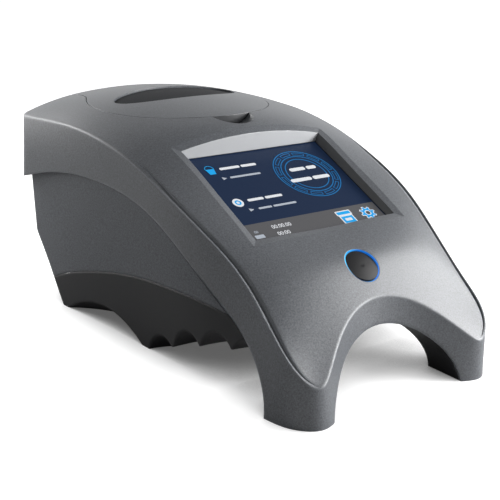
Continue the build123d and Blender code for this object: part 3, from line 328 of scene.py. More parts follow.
def pixel_group():
    """Faint pixel grid of a lit panel: product of two sine waves along the panel's own axes."""
    found = bpy.data.node_groups.get("Pixel grid")
    if found:
        return found
    tree, given, out = new_group("Pixel grid", [("Pitch", PIXEL_PITCH)], [("Mask", "NodeSocketFloat")])
    place = new_node(tree, "ShaderNodeTexCoord")
    turn = new_node(tree, "ShaderNodeMapping", "Along the panel")
    turn.inputs["Rotation"].default_value = (-GLASS_LEAN, 0.0, 0.0)
    wire(tree, place.outputs["Object"], turn.inputs["Vector"])
    parts = axes(tree, turn.outputs[0])
    waves = []
    for axis in ("X", "Y"):
        phase = maths(tree, "DIVIDE", parts[axis], given.outputs["Pitch"])
        wave = maths(tree, "SINE", maths(tree, "MULTIPLY", phase, math.tau), 0.0)
        waves.append(maths(tree, "ABSOLUTE", wave, 0.0))
    wire(tree, maths(tree, "MULTIPLY", *waves), out.inputs["Mask"])
    return tree


def wall_group():
    """Masks of high walls with painted light and shade: those facing down the glass's lean, and the
    pocket's two side walls.
    """
    found = bpy.data.node_groups.get("Walls")
    if found:
        return found
    tree, given, out = new_group(
        "Walls", [("Rear Limit", POCKET_REAR_Y * MM)],
        [("Front", "NodeSocketFloat"), ("Side", "NodeSocketFloat")],
    )
    place = new_node(tree, "ShaderNodeTexCoord")
    down_the_lean = (0.0, -math.cos(GLASS_LEAN), -math.sin(GLASS_LEAN))
    facing = dot_product(tree, place.outputs["Normal"], down_the_lean)
    parts = axes(tree, place.outputs["Object"])
    turned = axes(tree, place.outputs["Normal"])
    in_front = maths(tree, "LESS_THAN", parts["Y"], given.outputs["Rear Limit"])
    faces_down = maths(tree, "GREATER_THAN", facing, WALL_LEAST_FACING)
    above = maths(tree, "GREATER_THAN", parts["Z"], POCKET_TOP_Z * MM)
    front = maths(tree, "MULTIPLY", maths(tree, "MULTIPLY", faces_down, in_front), above)
    sideways = maths(tree, "ABSOLUTE", turned["X"], 0.0)
    faces_side = maths(tree, "GREATER_THAN", sideways, WALL_LEAST_FACING)
    aside = maths(tree, "ABSOLUTE", parts["X"], 0.0)
    inside = maths(tree, "LESS_THAN", aside, POCKET_HALF_WIDTH * MM)
    behind = maths(tree, "GREATER_THAN", parts["Y"], POCKET_FRONT_Y * MM)
    between = maths(tree, "MULTIPLY", behind, in_front)
    side = maths(tree, "MULTIPLY", maths(tree, "MULTIPLY", faces_side, inside), between)
    wire(tree, front, out.inputs["Front"])
    wire(tree, side, out.inputs["Side"])
    return tree


def placed_group(tree, group, **values):
    """Group node in a material with its own values."""
    node = new_node(tree, "ShaderNodeGroup", node_tree=group)
    for key, value in values.items():
        node.inputs[key].default_value = value
    return node


def new_material(name):
    """Node material; gives it, its tree and its Principled BSDF."""
    material = bpy.data.materials.new(name)
    material.use_nodes = True
    return material, material.node_tree, material.node_tree.nodes["Principled BSDF"]


def bumped(tree, shader, height, distance, strength, normal=None):
    """Bump that feeds the shader's normal."""
    bump = new_node(tree, "ShaderNodeBump")
    bump.inputs["Distance"].default_value = distance
    bump.inputs["Strength"].default_value = strength
    wire(tree, height, bump.inputs["Height"])
    if normal is not None:
        wire(tree, normal, bump.inputs["Normal"])
    wire(tree, bump.outputs[0], shader.inputs["Normal"])


def uneven_gloss(tree, shader, grain, least, swing):
    """Roughness that rises from its least by a swing with the grain's speckle."""
    rise = maths(tree, "MULTIPLY", grain.outputs["Speckle"], swing)
    wire(tree, maths(tree, "ADD", rise, least), shader.inputs["Roughness"])


def moulded(name, base, roughness, specular, speck, depth=0.04 * MM, edge=0.0, radius=None, wall=None):
    """Moulded plastic or rubber: grain, speckle, slow change of tone, soft edges with a painted highlight,
    and walls with painted highlight and shade.
    """
    material, tree, shader = new_material(name)
    grain = placed_group(tree, grain_group(), Scale=1.0 / sizes().grain, Contrast=1.8)
    wide = sizes().edge_radius if radius is None else radius
    radii = {"Radius": wide, "Crisp Radius": min(wide, sizes().crisp_radius)}
    soft = placed_group(tree, edge_group(), **radii)
    speckled = mixed(tree, grain.outputs["Speckle"], rgba(base, 1.0 - speck), rgba(base, 1.0 + speck))
    clouds = maths(tree, "MULTIPLY", grain.outputs["Cloud"], CLOUD_SHARE)
    cloudy = mixed(tree, clouds, speckled, rgba(base, CLOUD_TONE))
    # Painted highlight: where the softened normal turns, on edges and in grooves, the colour is lightened
    # towards a pale tone.
    with_painted_light = mixed(tree, maths(tree, "MULTIPLY", soft.outputs["Edge"], edge), cloudy, rgba(base, EDGE_HIGHLIGHT_TONE))
    if wall is not None:
        tone, rear_limit = wall
        masked = placed_group(tree, wall_group(), **{"Rear Limit": rear_limit})
        # Walls that face down the lean take the given tone: a painted highlight on the pocket's upper
        # wall, painted shade on the lid's notch wall.
        with_painted_light = mixed(tree, masked.outputs["Front"], with_painted_light, rgba(tone))
        # Painted shade on the side walls of the display's pocket.
        with_painted_light = mixed(tree, masked.outputs["Side"], with_painted_light, rgba(colours().notch))
    wire(tree, with_painted_light, shader.inputs["Base Color"])
    uneven_gloss(tree, shader, grain, roughness - 0.06, 0.12)
    shader.inputs["Specular IOR Level"].default_value = specular
    bumped(tree, shader, grain.outputs["Height"], depth, 0.6, soft.outputs["Normal"])
    return material


def metal(name, base, roughness):
    """Plated steel: streaks in roughness and a little tarnish."""
    material, tree, shader = new_material(name)
    grain = placed_group(tree, grain_group(), Scale=900.0, Contrast=1.2)
    tone = mixed(tree, grain.outputs["Cloud"], rgba(base, 0.8), rgba(base, 1.1))
    wire(tree, tone, shader.inputs["Base Color"])
    uneven_gloss(tree, shader, grain, roughness - 0.1, 0.2)
    shader.inputs["Metallic"].default_value = 1.0
    bumped(tree, shader, grain.outputs["Height"], 0.01 * MM, 0.3)
    return material


def laminate(name):
    """Green circuit board: solder mask with faint copper lanes from a brick pattern."""
    material, tree, shader = new_material(name)
    place = new_node(tree, "ShaderNodeTexCoord")
    lanes = new_node(tree, "ShaderNodeTexBrick", "Copper lanes")
    lanes.inputs["Scale"].default_value = 160.0
    lanes.inputs["Mortar Size"].default_value = 0.05
    lanes.inputs["Color1"].default_value = (0.01, 0.09, 0.035, 1.0)
    lanes.inputs["Color2"].default_value = (0.012, 0.12, 0.045, 1.0)
    lanes.inputs["Mortar"].default_value = (0.03, 0.2, 0.08, 1.0)
    wire(tree, place.outputs["Object"], lanes.inputs["Vector"])
    wire(tree, lanes.outputs["Color"], shader.inputs["Base Color"])
    shader.inputs["Roughness"].default_value = 0.32
    bumped(tree, shader, lanes.outputs["Fac"], 0.04 * MM, 0.5)
    return material


def lit(name, base, glow):
    """Lit panel or print: its colour with a faint pixel grid, mostly its own light."""
    material, tree, shader = new_material(name)
    grid = placed_group(tree, pixel_group(), Pitch=PIXEL_PITCH)
    tone = mixed(tree, grid.outputs["Mask"], rgba(base, 0.86), rgba(base, 1.08))
    wire(tree, mixed(tree, 1.0, tone, (0.45, 0.45, 0.45, 1.0), "MULTIPLY"), shader.inputs["Base Color"])
    wire(tree, tone, shader.inputs["Emission Color"])
    shader.inputs["Emission Strength"].default_value = glow
    shader.inputs["Specular IOR Level"].default_value = 0.12
    shader.inputs["Roughness"].default_value = 0.35
    return material


def light_guide(name, near, far, reach, glow):
    """Lit ring: its colour runs along X from near to far, and it is dim at its lower left."""
    material, tree, shader = new_material(name)
    place = new_node(tree, "ShaderNodeTexCoord")
    offset = new_node(tree, "ShaderNodeVectorMath", operation="SUBTRACT")
    offset.inputs[1].default_value = RING_MIDDLE
    wire(tree, place.outputs["Object"], offset.inputs[0])
    shares = []
    for way, low, high in RING_RUNS:
        along = dot_product(tree, offset.outputs["Vector"], way)
        shares.append(remapped(tree, along, (low * reach, high * reach), (0.0, 1.0)))
    hue = mixed(tree, shares[0], rgba(near), rgba(far))
    tone = mixed(tree, shares[1], rgba(far, 0.08), hue)
    wire(tree, tone, shader.inputs["Base Color"])
    wire(tree, tone, shader.inputs["Emission Color"])
    shader.inputs["Emission Strength"].default_value = glow
    shader.inputs["Roughness"].default_value = 0.35
    shader.inputs["Specular IOR Level"].default_value = 0.15
    return material


def glossy(name, base, roughness, specular):
    """Polished plastic: faint waviness and fine scratches in its gloss."""
    material, tree, shader = new_material(name)
    grain = placed_group(tree, grain_group(), Scale=700.0, Contrast=1.0)
    tone = mixed(tree, grain.outputs["Cloud"], rgba(base, 0.8), rgba(base, 1.25))
    wire(tree, tone, shader.inputs["Base Color"])
    uneven_gloss(tree, shader, grain, roughness, 0.1)
    shader.inputs["Specular IOR Level"].default_value = specular
    bumped(tree, shader, grain.outputs["Cloud"], 0.1 * MM, 0.1)
    return material


def finish_nodes(names, material):
    """Give CAD nodes a material."""
    for name in names:
        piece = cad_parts[name]
        if not piece.material_slots:
            piece.data.materials.append(material)
        for place in piece.material_slots:
            place.material = material


def tail_sheet(columns=59, rows=25):
    """Closed sheet: a parabola through the profile's points drawn across X, its upper edge bowed."""
    size = sizes()
    profile = np.array(TAIL_PROFILE)
    x = np.linspace(-size.tail_width, size.tail_width, columns)
    rear = size.tail_rear - size.tail_bow * np.abs(x / size.tail_width) ** TAIL_BOW_POWER
    share = np.linspace(0.0, 1.0, rows)[:, None]
    y = size.tail_front + (rear[None, :] - size.tail_front) * share
    parabola = np.polyfit(profile[:, 0], profile[:, 1], 2)
    z = (np.polyval(parabola, y / MM) + TAIL_INSET) * MM
    across = np.broadcast_to(x[None, :], y.shape)
    outer = np.stack([across, y, z], -1).reshape(-1, 3)
    inner = outer + np.array([0.0, 0.0, size.tail_wall])
    index = np.arange(rows * columns).reshape(rows, columns)
    quads = np.stack([index[:-1, :-1], index[1:, :-1], index[1:, 1:], index[:-1, 1:]], -1).reshape(-1, 4)
    rim = np.concatenate([index[0, :-1], index[:-1, -1], index[-1, :0:-1], index[:0:-1, 0]])
    after = np.roll(rim, -1)
    count = rows * columns
    walls = np.stack([rim, after, after + count, rim + count], -1)
    faces = np.concatenate([quads, quads[:, ::-1] + count, walls])
    return np.concatenate([outer, inner]), [tuple(face) for face in faces.tolist()]


def screen_points(points):
    """Points (u, v, w) of the glass carried into the frame: along X, up the lean, out of the glass."""
    points = np.asarray(points, float)
    lean = np.array([[1.0, 0.0, 0.0],
                     [0.0, math.cos(GLASS_LEAN), math.sin(GLASS_LEAN)],
                     [0.0, -math.sin(GLASS_LEAN), math.cos(GLASS_LEAN)]])
    return points @ lean + np.array(GLASS_MIDDLE)


def prism(outline, low, high):
    """Closed slab: an anticlockwise outline (n, 2), its floor at low and its top at high."""
    outline = np.asarray(outline, float)
    count = len(outline)
    floor = np.column_stack([outline, np.full(count, low)])
    top = np.column_stack([outline, np.full(count, high)])
    index = np.arange(count)
    after = np.roll(index, -1)
    walls = np.column_stack([index, after, after + count, index + count])
    faces = [tuple(reversed(range(count))), tuple(range(count, 2 * count))]
    return np.vstack([floor, top]), faces + [tuple(wall) for wall in walls.tolist()]


def ring(middle, inner, outer, low, high, start=0.0, sweep=math.tau, steps=96):
    """Flat ring or arc: a rectangle of radii and heights carried round the middle by the angle."""
    closed = abs(sweep - math.tau) < 1e-6
    angle = start + np.linspace(0.0, sweep, steps, endpoint=not closed)
    profile = np.array([(inner, low), (outer, low), (outer, high), (inner, high)])
    radius = profile[None, :, 0]
    grid = np.stack([middle[0] + radius * np.cos(angle)[:, None],
                     middle[1] + radius * np.sin(angle)[:, None],
                     np.broadcast_to(profile[None, :, 1], (steps, 4))], -1)
    row = np.arange(steps if closed else steps - 1)[:, None]
    side = np.arange(4)[None, :]
    next_row = (row + 1) % steps
    next_side = (side + 1) % 4
    turns = [row * 4 + side, next_row * 4 + side, next_row * 4 + next_side, row * 4 + next_side]
    quads = np.stack(turns, -1)
    faces = [tuple(quad) for quad in quads.reshape(-1, 4).tolist()]
    if not closed:
        last = (steps - 1) * 4
        faces += [(3, 2, 1, 0), (last, last + 1, last + 2, last + 3)]
    return grid.reshape(-1, 3), faces


def pill(middle, width, height, radius, turn=0.0, steps=6):
    """Outline of a rounded rectangle: a quarter circle at each corner, turned about its middle."""
    quarter = np.linspace(0.0, math.pi / 2, steps)
    corners = []
    for index, (side, rise) in enumerate(((1, 1), (-1, 1), (-1, -1), (1, -1))):
        angle = quarter + index * math.pi / 2
        corners.append(np.column_stack([side * (width / 2 - radius) + radius * np.cos(angle),
                                        rise * (height / 2 - radius) + radius * np.sin(angle)]))
    points = np.vstack(corners)
    spin = np.array([[math.cos(turn), math.sin(turn)], [-math.sin(turn), math.cos(turn)]])
    return points @ spin + np.array(middle)


def toothed(middle, inner, outer, teeth, steps=12):
    """Outline of a gear: the radius steps between two circles with a smoothed square wave."""
    angle = np.linspace(0.0, math.tau, teeth * steps, endpoint=False)
    wave = np.clip(3.0 * np.sin(teeth * angle), -1.0, 1.0)
    radius = (inner + outer) / 2 + wave * (outer - inner) / 2
    return np.column_stack([middle[0] + radius * np.cos(angle), middle[1] + radius * np.sin(angle)])


def joined(pieces):
    """Several (points, faces) as one."""
    points = []
    faces = []
    count = 0
    for some, sides in pieces:
        faces += [tuple(index + count for index in side) for side in sides]
        points.append(np.asarray(some, float))
        count += len(some)
    return np.vstack(points), faces


def add_piece(name, points, faces, material, body):
    """Mesh object in the frame that rides on a body."""
    mesh = bpy.data.meshes.new(name)
    mesh.from_pydata(np.asarray(points, float).tolist(), [], faces)
    mesh.validate()
    mesh.update()
    mesh.materials.append(material)
    piece = bpy.data.objects.new(name, mesh)
    bpy.context.scene.collection.objects.link(piece)
    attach(piece, body)
    return piece


def add_mark(name, pieces, material):
    """Flat (points, faces) on the glass, joined as one piece of the case."""
    points, faces = joined(pieces)
    add_piece(name, screen_points(points), faces, material, "case")


def on_glass(place):
    """Place on the glass from millimetres."""
    return place[0] * MM, place[1] * MM


def numerals(text, height, middle):
    """Flat numerals as (points, faces) on the glass, centred on a place."""
    curve = bpy.data.curves.new("numerals", "FONT")
    curve.body = text
    curve.size = height * FONT_SHARE
    curve.align_x = "CENTER"
    curve.align_y = "CENTER"
    curve.extrude = sizes().film / 2
    shown = bpy.data.objects.new("numerals", curve)
    bpy.context.scene.collection.objects.link(shown)
    bpy.context.view_layer.update()
    mesh = bpy.data.meshes.new_from_object(shown.evaluated_get(bpy.context.evaluated_depsgraph_get()))
    work = bmesh.new()
    work.from_mesh(mesh)
    bmesh.ops.remove_doubles(work, verts=work.verts, dist=0.001 * MM)
    bmesh.ops.recalc_face_normals(work, faces=work.faces)
    points = np.array([corner.co for corner in work.verts]) + np.array([*middle, sizes().film * 1.5])
    faces = [tuple(corner.index for corner in face.verts) for face in work.faces]
    work.free()
    bpy.data.objects.remove(shown)
    bpy.data.meshes.remove(mesh)
    return points, faces


def word_bars(start, words, height):
    """Rounded bars that stand for a line of words, from (start, gap) along the line."""
    film = sizes().film
    left, level = start
    bars = []
    for width in words:
        middle = ((left + width / 2) * MM, level * MM)
        bars.append(prism(pill(middle, width * MM, height * MM, 0.42 * height * MM), film, 2 * film))
        left += width + WORD_GAP
    return bars


def written(lines, figures):
    """Lines of bars and numerals as a list of (points, faces)."""
    pieces = []
    for start, words, height in lines:
        pieces += word_bars(start, words, height)
    for text, height, middle in figures:
        pieces.append(numerals(text, height * MM, on_glass(middle)))
    return pieces


def pointer(place):
    """Small triangle that points along a line."""
    film = sizes().film
    x, y = place
    corners = np.array([(x - 0.9, y - 0.95), (x + 1.3, y), (x - 0.9, y + 0.95)]) * MM
    return prism(corners, film, 2 * film)


class PHOTOMETER_OT_case(Operator):
    """Finish of the mouldings of the case and the lid"""

    bl_idname = "photometer.case"
    bl_label = "Case mouldings"

    def execute(self, context):
        base = colours().case
        # Painted highlight on the pocket's upper wall, with the rear limit of its mask.
        pocket = (colours().wall, POCKET_REAR_Y * MM)
        # Painted shade on the lid's notch wall, with the rear limit of its mask.
        notch = (colours().notch, NOTCH_REAR_Y * MM)
        sheen = {"roughness": 0.38, "specular": 0.65, "speck": 0.5}
        # Painted highlight on edges: strong on the cover, faint on the lid.
        cover = moulded("cover_plastic", base, **sheen, edge=0.9, wall=pocket)
        lid = moulded("lid_plastic", base, **sheen, edge=0.2, radius=0.35 * MM, wall=notch)
        housing = moulded("housing_plastic", base, roughness=0.5, specular=0.3, speck=0.5)
        finish_nodes(["top_cover"], cover)
        finish_nodes(["lid"], lid)
        finish_nodes(["lower_housing"], housing)
        return {"FINISHED"}


class PHOTOMETER_OT_grip(Operator):
    """Finish of the rubber grip and the seals"""

    bl_idname = "photometer.grip"
    bl_label = "Rubber grip"

    def execute(self, context):
        base = colours().grip
        rough = {"roughness": 0.5, "specular": 0.3, "speck": 0.25}
        # A faint painted highlight along the edges of the grip.
        rubber = moulded("grip_rubber", base, **rough, depth=0.06 * MM, edge=0.05)
        seal = moulded("seal_rubber", base, roughness=0.7, specular=0.3, speck=0.2, radius=0.2 * MM)
        finish_nodes(["grip_base"], rubber)
        finish_nodes(["lid_gasket", "display_gasket"], seal)
        return {"FINISHED"}


class PHOTOMETER_OT_tail(Operator):
    """Panel that closes the sloping tail between the rear wall and the grip"""

    bl_idname = "photometer.tail"
    bl_label = "Tail panel"

    def execute(self, context):
        base = colours().case
        material = moulded("tail_plastic", base, roughness=0.5, specular=0.3, speck=0.5, radius=0.35 * MM)
        points, faces = tail_sheet()
        add_piece("tail_panel", points, faces, material, "case")
        return {"FINISHED"}


class PHOTOMETER_OT_lid(Operator):
    """Finish of the bare plate in the lid and of its liner"""

    bl_idname = "photometer.lid"
    bl_label = "Lid plate and liner"

    def execute(self, context):
        fine = {"roughness": 0.6, "radius": 0.3 * MM}
        plate = moulded("label_plate", colours().label, specular=0.05, speck=0.15, depth=0.01 * MM, **fine)
        liner = moulded("liner_plastic", (0.02, 0.02, 0.022), specular=0.3, speck=0.2, **fine)
        finish_nodes(["label_plate"], plate)
        finish_nodes(["lid_liner"], liner)
        return {"FINISHED"}


class PHOTOMETER_OT_screen(Operator):
    """Lit screen: glass, bar, icons, ring and bars in place of words"""

    bl_idname = "photometer.screen"
    bl_label = "Lit screen"

    def execute(self, context):
        paint = colours()
        finish_nodes(["touch_glass"], lit("screen_glass", paint.screen, 0.6))
        finish_nodes(["lcd_panel"], lit("panel_layer", paint.screen, 0.2))
        self.add_bar(lit("screen_bar", paint.bar, 0.75))
        self.add_outlines(lit("screen_outline", paint.white, 0.7))
        self.add_hole(lit("screen_hole", paint.bar, 0.5))
        self.add_icons(lit("screen_icon", paint.icon, 0.8))
        self.add_rings(lit("screen_ring", paint.ring, 0.9))
        self.add_titles(lit("screen_title", paint.white, 0.7))
        self.add_details(lit("screen_detail", paint.pale, 0.7))
        return {"FINISHED"}

    def add_bar(self, material):
        """Grey bar along the foot of the screen."""
        size = sizes()
        middle = (0.0, -size.half_height + size.bar_height / 2)
        outline = pill(middle, 2 * size.half_width, size.bar_height, 0.1 * MM, steps=2)
        add_mark("screen_bar", [prism(outline, 0.0, size.film)], material)

    def add_outlines(self, material):
        """White grounds that show as outlines round the disc, the box and the gear."""
        low, high = sizes().film, 2 * sizes().film
        box_body = (BOX_ICON[0], BOX_ICON[1] - 3.7)
        pieces = [
            ring(on_glass(DISC_ICON), 0.05 * MM, 2.6 * MM, low, high, steps=40),
            prism(pill(on_glass(BOX_ICON), 8.4 * MM, 3.0 * MM, 0.5 * MM), low, high),
            prism(pill(on_glass(box_body), 7.4 * MM, 6.0 * MM, 0.4 * MM), low, high),
            prism(toothed(on_glass(GEAR_ICON), 3.1 * MM, 4.1 * MM, GEAR_TEETH), low, high),
        ]
        add_mark("screen_outlines", pieces, material)

    def add_hole(self, material):
        """Dark middle of the gear."""
        film = sizes().film
        hole = ring(on_glass(GEAR_ICON), 0.05 * MM, 1.1 * MM, 2 * film, 3 * film, steps=32)
        add_mark("screen_hole", [hole], material)

    def add_icons(self, material):
        """Icons: a cup of water, the disc's centre, a box and a gear."""
        film = sizes().film
        low, high = 2 * film, 3 * film
        sides = np.array([(-2.2, 0.0), (-1.5, -3.4), (1.5, -3.4), (2.2, 0.0)])
        pieces = [
            prism((sides + np.array(CUP_TOP)) * MM, low, high),
            ring(on_glass(CUP_TOP), 2.05 * MM, 2.3 * MM, low, high, 0.0, math.pi, 24),
            ring(on_glass(DISC_ICON), 0.8 * MM, 1.5 * MM, low, high, steps=40),
            prism(pill(on_glass(BOX_ICON), 7.2 * MM, 1.7 * MM, 0.3 * MM), low, high),
            ring(on_glass(GEAR_ICON), 1.6 * MM, 2.6 * MM, low, high, steps=40),
        ]
        pieces += self.frame_bars((BOX_ICON[0], BOX_ICON[1] - 4.2), 6.2, 4.1, 1.2, low, high)
        for tooth in range(GEAR_TEETH):
            turn = (tooth + 0.25) * math.tau / GEAR_TEETH
            place = (GEAR_ICON[0] + 2.8 * math.cos(turn), GEAR_ICON[1] + 2.8 * math.sin(turn))
            pieces.append(prism(pill(on_glass(place), 1.6 * MM, 1.0 * MM, 0.2 * MM, turn), low, high))
        add_mark("screen_icons", pieces, material)

    def frame_bars(self, middle, width, height, rim, low, high):
        """Rectangular frame of four bars."""
        x, y = middle
        bars = []
        for side in (-1, 1):
            upright = on_glass((x + side * (width - rim) / 2, y))
            bars.append(prism(pill(upright, rim * MM, height * MM, 0.1 * MM, steps=2), low, high))
            level = on_glass((x, y + side * (height - rim) / 2))
            bars.append(prism(pill(level, (width - 2 * rim) * MM, rim * MM, 0.1 * MM, steps=2), low, high))
        return bars

    def add_rings(self, material):
        """Large ring: two circles with a chain of twelve links between them, and a smaller circle."""
        size = sizes()
        middle = on_glass(LARGE_RING)
        low, high = size.film * 0.4, size.film
        pieces = []
        for radius in RING_CIRCLES:
            pieces.append(ring(middle, radius * MM - size.line, radius * MM, low, high))
        for index in range(RING_LINKS):
            turn = index * math.tau / RING_LINKS
            for radius in LINK_RADII:
                reach = (radius + LINK_LINE) * MM
                pieces.append(ring(middle, radius * MM, reach, low, high, turn, LINK_SWEEP, 12))
            for end in (turn, turn + LINK_SWEEP - LINK_END):
                inner, outer = LINK_RADII[0] * MM, (LINK_RADII[1] + LINK_LINE) * MM
                pieces.append(ring(middle, inner, outer, low, high, end, LINK_END, 3))
        add_mark("screen_rings", pieces, material)

    def add_titles(self, material):
        """White bars in place of the titles and of the ring's two lines, and plain numerals."""
        add_mark("screen_titles", written(TITLE_BARS, TITLE_NUMERALS), material)

    def add_details(self, material):
        """Paler second lines, their pointers, a battery and its numerals."""
        film = sizes().film
        low, high = film, 2 * film
        battery = pill(on_glass((-31.9, -24.8)), 4.6 * MM, 2.0 * MM, 0.3 * MM)
        marks = [pointer((-25.2, 12.5)), pointer((-25.3, -8.8)), prism(battery, low, high)]
        add_mark("screen_details", written(DETAIL_BARS, DETAIL_NUMERALS) + marks, material)


class PHOTOMETER_OT_button(Operator):
    """Black power button in its lit ring"""

    bl_idname = "photometer.button"
    bl_label = "Power button"

    def execute(self, context):
        paint = colours()
        black = glossy("button_plastic", (0.006, 0.006, 0.007), roughness=0.32, specular=0.25)
        guide = light_guide("ring_light", paint.glow, paint.deep_glow, reach=8.0 * MM, glow=0.8)
        finish_nodes(["power_button"], black)
        finish_nodes(["light_ring"], guide)
        grey = (0.03, 0.03, 0.03)
        switch = moulded("switch_plastic", grey, roughness=0.5, specular=0.4, speck=0.35, radius=0.2 * MM)
        finish_nodes(["button_switch"], switch)
        return {"FINISHED"}


class PHOTOMETER_OT_inside(Operator):
    """Finishes of the disc chamber, optics, boards, battery and fasteners"""

    bl_idname = "photometer.inside"
    bl_label = "Inside of the case"

    def execute(self, context):
        dark = (0.016, 0.016, 0.018)
        pale = (0.21, 0.215, 0.22)
        black = moulded("chamber_plastic", dark, roughness=0.62, specular=0.3, speck=0.2, radius=0.4 * MM)
        hub = moulded("hub_plastic", pale, roughness=0.42, specular=0.45, speck=0.15, radius=0.5 * MM)
        finish_nodes(["disc_chamber", "optics_block", "display_bracket"], black)
        finish_nodes(["disc_hub"], hub)
        steel = metal("zinc_steel", (0.56, 0.56, 0.57), roughness=0.34)
        fasteners = ["display_screws", "chamber_screws", "motor_screws", "board_screws", "case_screws"]
        finish_nodes(fasteners + ["hinge_pins", "spindle_shaft", "spindle_bearing", "usb_port"], steel)
        finish_nodes(["spin_motor"], metal("motor_steel", (0.44, 0.44, 0.45), roughness=0.4))
        finish_nodes(["battery_clamp"], metal("strap_aluminium", (0.7, 0.7, 0.71), roughness=0.38))
        boards = ["main_board", "button_board", "optics_board", "port_board"]
        finish_nodes(boards, laminate("board_laminate"))
        wrap = glossy("battery_wrap", (0.02, 0.07, 0.3), roughness=0.3, specular=0.5)
        window = glossy("window_strip", (0.5, 0.55, 0.56), roughness=0.08, specular=0.5)
        finish_nodes(["battery"], wrap)
        finish_nodes(["optics_window"], window)
        return {"FINISHED"}


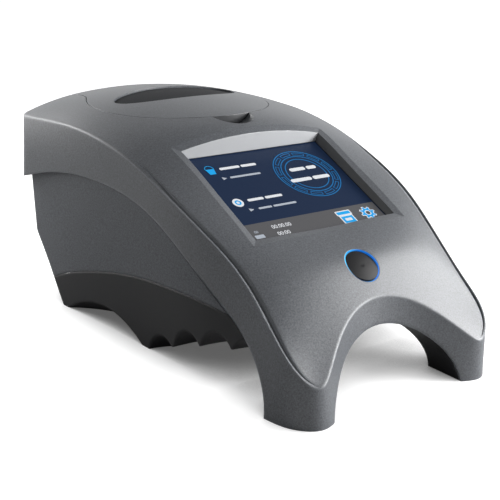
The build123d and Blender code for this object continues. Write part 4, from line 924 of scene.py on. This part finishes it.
class PHOTOMETER_OT_stage(Operator):
    """Pale floor, world, soft lights and the camera"""

    bl_idname = "photometer.stage"
    bl_label = "Studio"

    camera_place: tuple = (-0.32477, -0.40790, 0.20488)
    camera_azimuth: float = -38.715
    camera_elevation: float = 18.077
    camera_roll: float = 2.468
    camera_lens: float = 86.66

    def execute(self, context):
        self.add_floor()
        self.set_world(context.scene)
        self.add_lights()
        self.add_camera(context.scene)
        return {"FINISHED"}

    def add_floor(self):
        """Wide floor that turns white away from the object and keeps its shadow."""
        half = 6.0
        points = np.array([(-half, -half, 0.0), (half, -half, 0.0), (half, half, 0.0), (-half, half, 0.0)])
        mesh = bpy.data.meshes.new("floor")
        mesh.from_pydata(points.tolist(), [], [(0, 1, 2, 3)])
        mesh.materials.append(self.floor_material())
        floor = bpy.data.objects.new("floor", mesh)
        bpy.context.scene.collection.objects.link(floor)

    def floor_material(self):
        """Pale and matt, with light of its own for the camera where nothing stands over it."""
        material, tree, shader = new_material("studio_floor")
        grain = placed_group(tree, grain_group(), Scale=60.0, Contrast=1.0)
        tone = mixed(tree, grain.outputs["Cloud"], (0.56, 0.56, 0.56, 1.0), (0.6, 0.6, 0.6, 1.0))
        wire(tree, tone, shader.inputs["Base Color"])
        shader.inputs["Roughness"].default_value = 0.9
        shader.inputs["Specular IOR Level"].default_value = 0.0
        open_sky = new_node(tree, "ShaderNodeAmbientOcclusion", samples=8)
        open_sky.inputs["Distance"].default_value = 0.03
        bright = remapped(tree, open_sky.outputs["AO"], (0.3, 0.8), (0.1, 1.0), "Contact shadow")
        path = new_node(tree, "ShaderNodeLightPath")
        mirrored = maths(tree, "MULTIPLY", path.outputs["Is Glossy Ray"], 0.2)
        seen = maths(tree, "MAXIMUM", seen_by_camera(tree, path), mirrored)
        glow = maths(tree, "MULTIPLY", bright, seen)
        light = new_node(tree, "ShaderNodeEmission")
        wire(tree, glow, light.inputs["Strength"])
        both = new_node(tree, "ShaderNodeAddShader")
        wire(tree, shader.outputs[0], both.inputs[0])
        wire(tree, light.outputs[0], both.inputs[1])
        wire(tree, both.outputs[0], tree.nodes["Material Output"].inputs["Surface"])
        return material

    def set_world(self, scene):
        """White world where it is seen, and a soft grey light elsewhere."""
        world = bpy.data.worlds.new("studio_world")
        scene.world = world
        world.use_nodes = True
        tree = world.node_tree
        path = new_node(tree, "ShaderNodeLightPath")
        place = new_node(tree, "ShaderNodeTexCoord")
        rise = axes(tree, place.outputs["Generated"])["Z"]
        sky = remapped(tree, rise, (0.28, 0.7), (1.0, 0.12), "Bright horizon")
        mirrored = maths(tree, "MULTIPLY", sky, path.outputs["Is Glossy Ray"])
        ambient = maths(tree, "MAXIMUM", mirrored, 0.11)
        strength = maths(tree, "MAXIMUM", ambient, seen_by_camera(tree, path))
        back = tree.nodes["Background"]
        back.inputs["Color"].default_value = (1.0, 1.0, 1.0, 1.0)
        wire(tree, strength, back.inputs["Strength"])

    def add_lights(self):
        """Soft lamps, by direction, distance, size and power: two at the front right and three behind."""
        middle = Vector((0.0, 0.0, 0.05))
        lamps = [
            ("key_lamp", (0.8, -0.41, 0.46), 0.545, 0.35, 2.6),
            ("front_lamp", (0.72, -0.66, 0.2), 0.8, 0.3, 5.2),
            ("rim_lamp", (-0.24, 0.82, 0.5), 0.42, 0.2, 0.85),
            ("edge_lamp", (-0.62, 0.2, 0.74), 1.1, 0.16, 0.6),
            ("side_lamp", (-0.54, 0.84, 0.17), 0.22, 0.06, 0.05),
        ]
        for name, way, distance, size, power in lamps:
            lamp = bpy.data.lights.new(name, "AREA")
            lamp.shape = "DISK"
            lamp.size = size
            lamp.energy = power
            shown = bpy.data.objects.new(name, lamp)
            place = middle + Vector(way).normalized() * distance
            shown.location = place
            shown.rotation_euler = (place - middle).to_track_quat("Z", "Y").to_euler()
            bpy.context.scene.collection.objects.link(shown)

    def add_camera(self, scene):
        """Camera at the photograph's place, from its azimuth, elevation and roll."""
        azimuth = math.radians(self.camera_azimuth)
        elevation = math.radians(self.camera_elevation)
        roll = math.radians(self.camera_roll)
        level = Vector((math.sin(azimuth), -math.cos(azimuth), 0.0))
        back = level * math.cos(elevation) + Vector((0.0, 0.0, math.sin(elevation)))
        right = Vector((math.cos(azimuth), math.sin(azimuth), 0.0))
        up = back.cross(right)
        turned_right = right * math.cos(roll) + up * math.sin(roll)
        turned_up = up * math.cos(roll) - right * math.sin(roll)
        lens = bpy.data.cameras.new("camera")
        lens.lens = self.camera_lens
        lens.sensor_width = 36.0
        lens.clip_start = 0.01
        lens.clip_end = 30.0
        camera = bpy.data.objects.new("camera", lens)
        turn = Matrix((turned_right, turned_up, back)).transposed()
        camera.matrix_world = Matrix.Translation(Vector(self.camera_place)) @ turn.to_4x4()
        scene.collection.objects.link(camera)
        scene.camera = camera
        scene.view_settings.view_transform = "Standard"


class PHOTOMETER_PT_panel(Panel):
    """Sidebar panel with the sizes, colours and steps of the photometer"""

    bl_label = "Photometer"
    bl_idname = "PHOTOMETER_PT_panel"
    bl_space_type = "VIEW_3D"
    bl_region_type = "UI"
    bl_category = "Photometer"

    def draw(self, context):
        for group in (context.scene.photometer_sizes, context.scene.photometer_colours):
            box = self.layout.box()
            for name in group.__annotations__:
                box.prop(group, name)
        for operator in OPERATORS:
            self.layout.operator(operator.bl_idname)


OPERATORS = (
    PHOTOMETER_OT_case,
    PHOTOMETER_OT_grip,
    PHOTOMETER_OT_tail,
    PHOTOMETER_OT_lid,
    PHOTOMETER_OT_screen,
    PHOTOMETER_OT_button,
    PHOTOMETER_OT_inside,
    PHOTOMETER_OT_stage,
)
CLASSES = (PhotometerSizes, PhotometerColours, *OPERATORS, PHOTOMETER_PT_panel)


def register():
    """Register the classes and hang the two groups on the scene."""
    for item in CLASSES:
        bpy.utils.register_class(item)
    bpy.types.Scene.photometer_sizes = PointerProperty(type=PhotometerSizes)
    bpy.types.Scene.photometer_colours = PointerProperty(type=PhotometerColours)


def unregister():
    """Undo register."""
    del bpy.types.Scene.photometer_colours
    del bpy.types.Scene.photometer_sizes
    for item in reversed(CLASSES):
        bpy.utils.unregister_class(item)


def corners(bounds):
    """Bounds as plain lists."""
    return [[float(value) for value in corner] for corner in bounds]


def main():
    """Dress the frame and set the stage."""
    register()
    bpy.ops.photometer.case()
    bpy.ops.photometer.grip()
    bpy.ops.photometer.tail()
    bpy.ops.photometer.lid()
    bpy.ops.photometer.screen()
    bpy.ops.photometer.button()
    bpy.ops.photometer.inside()
    bpy.ops.photometer.stage()


if __name__ == "__main__":
    main()
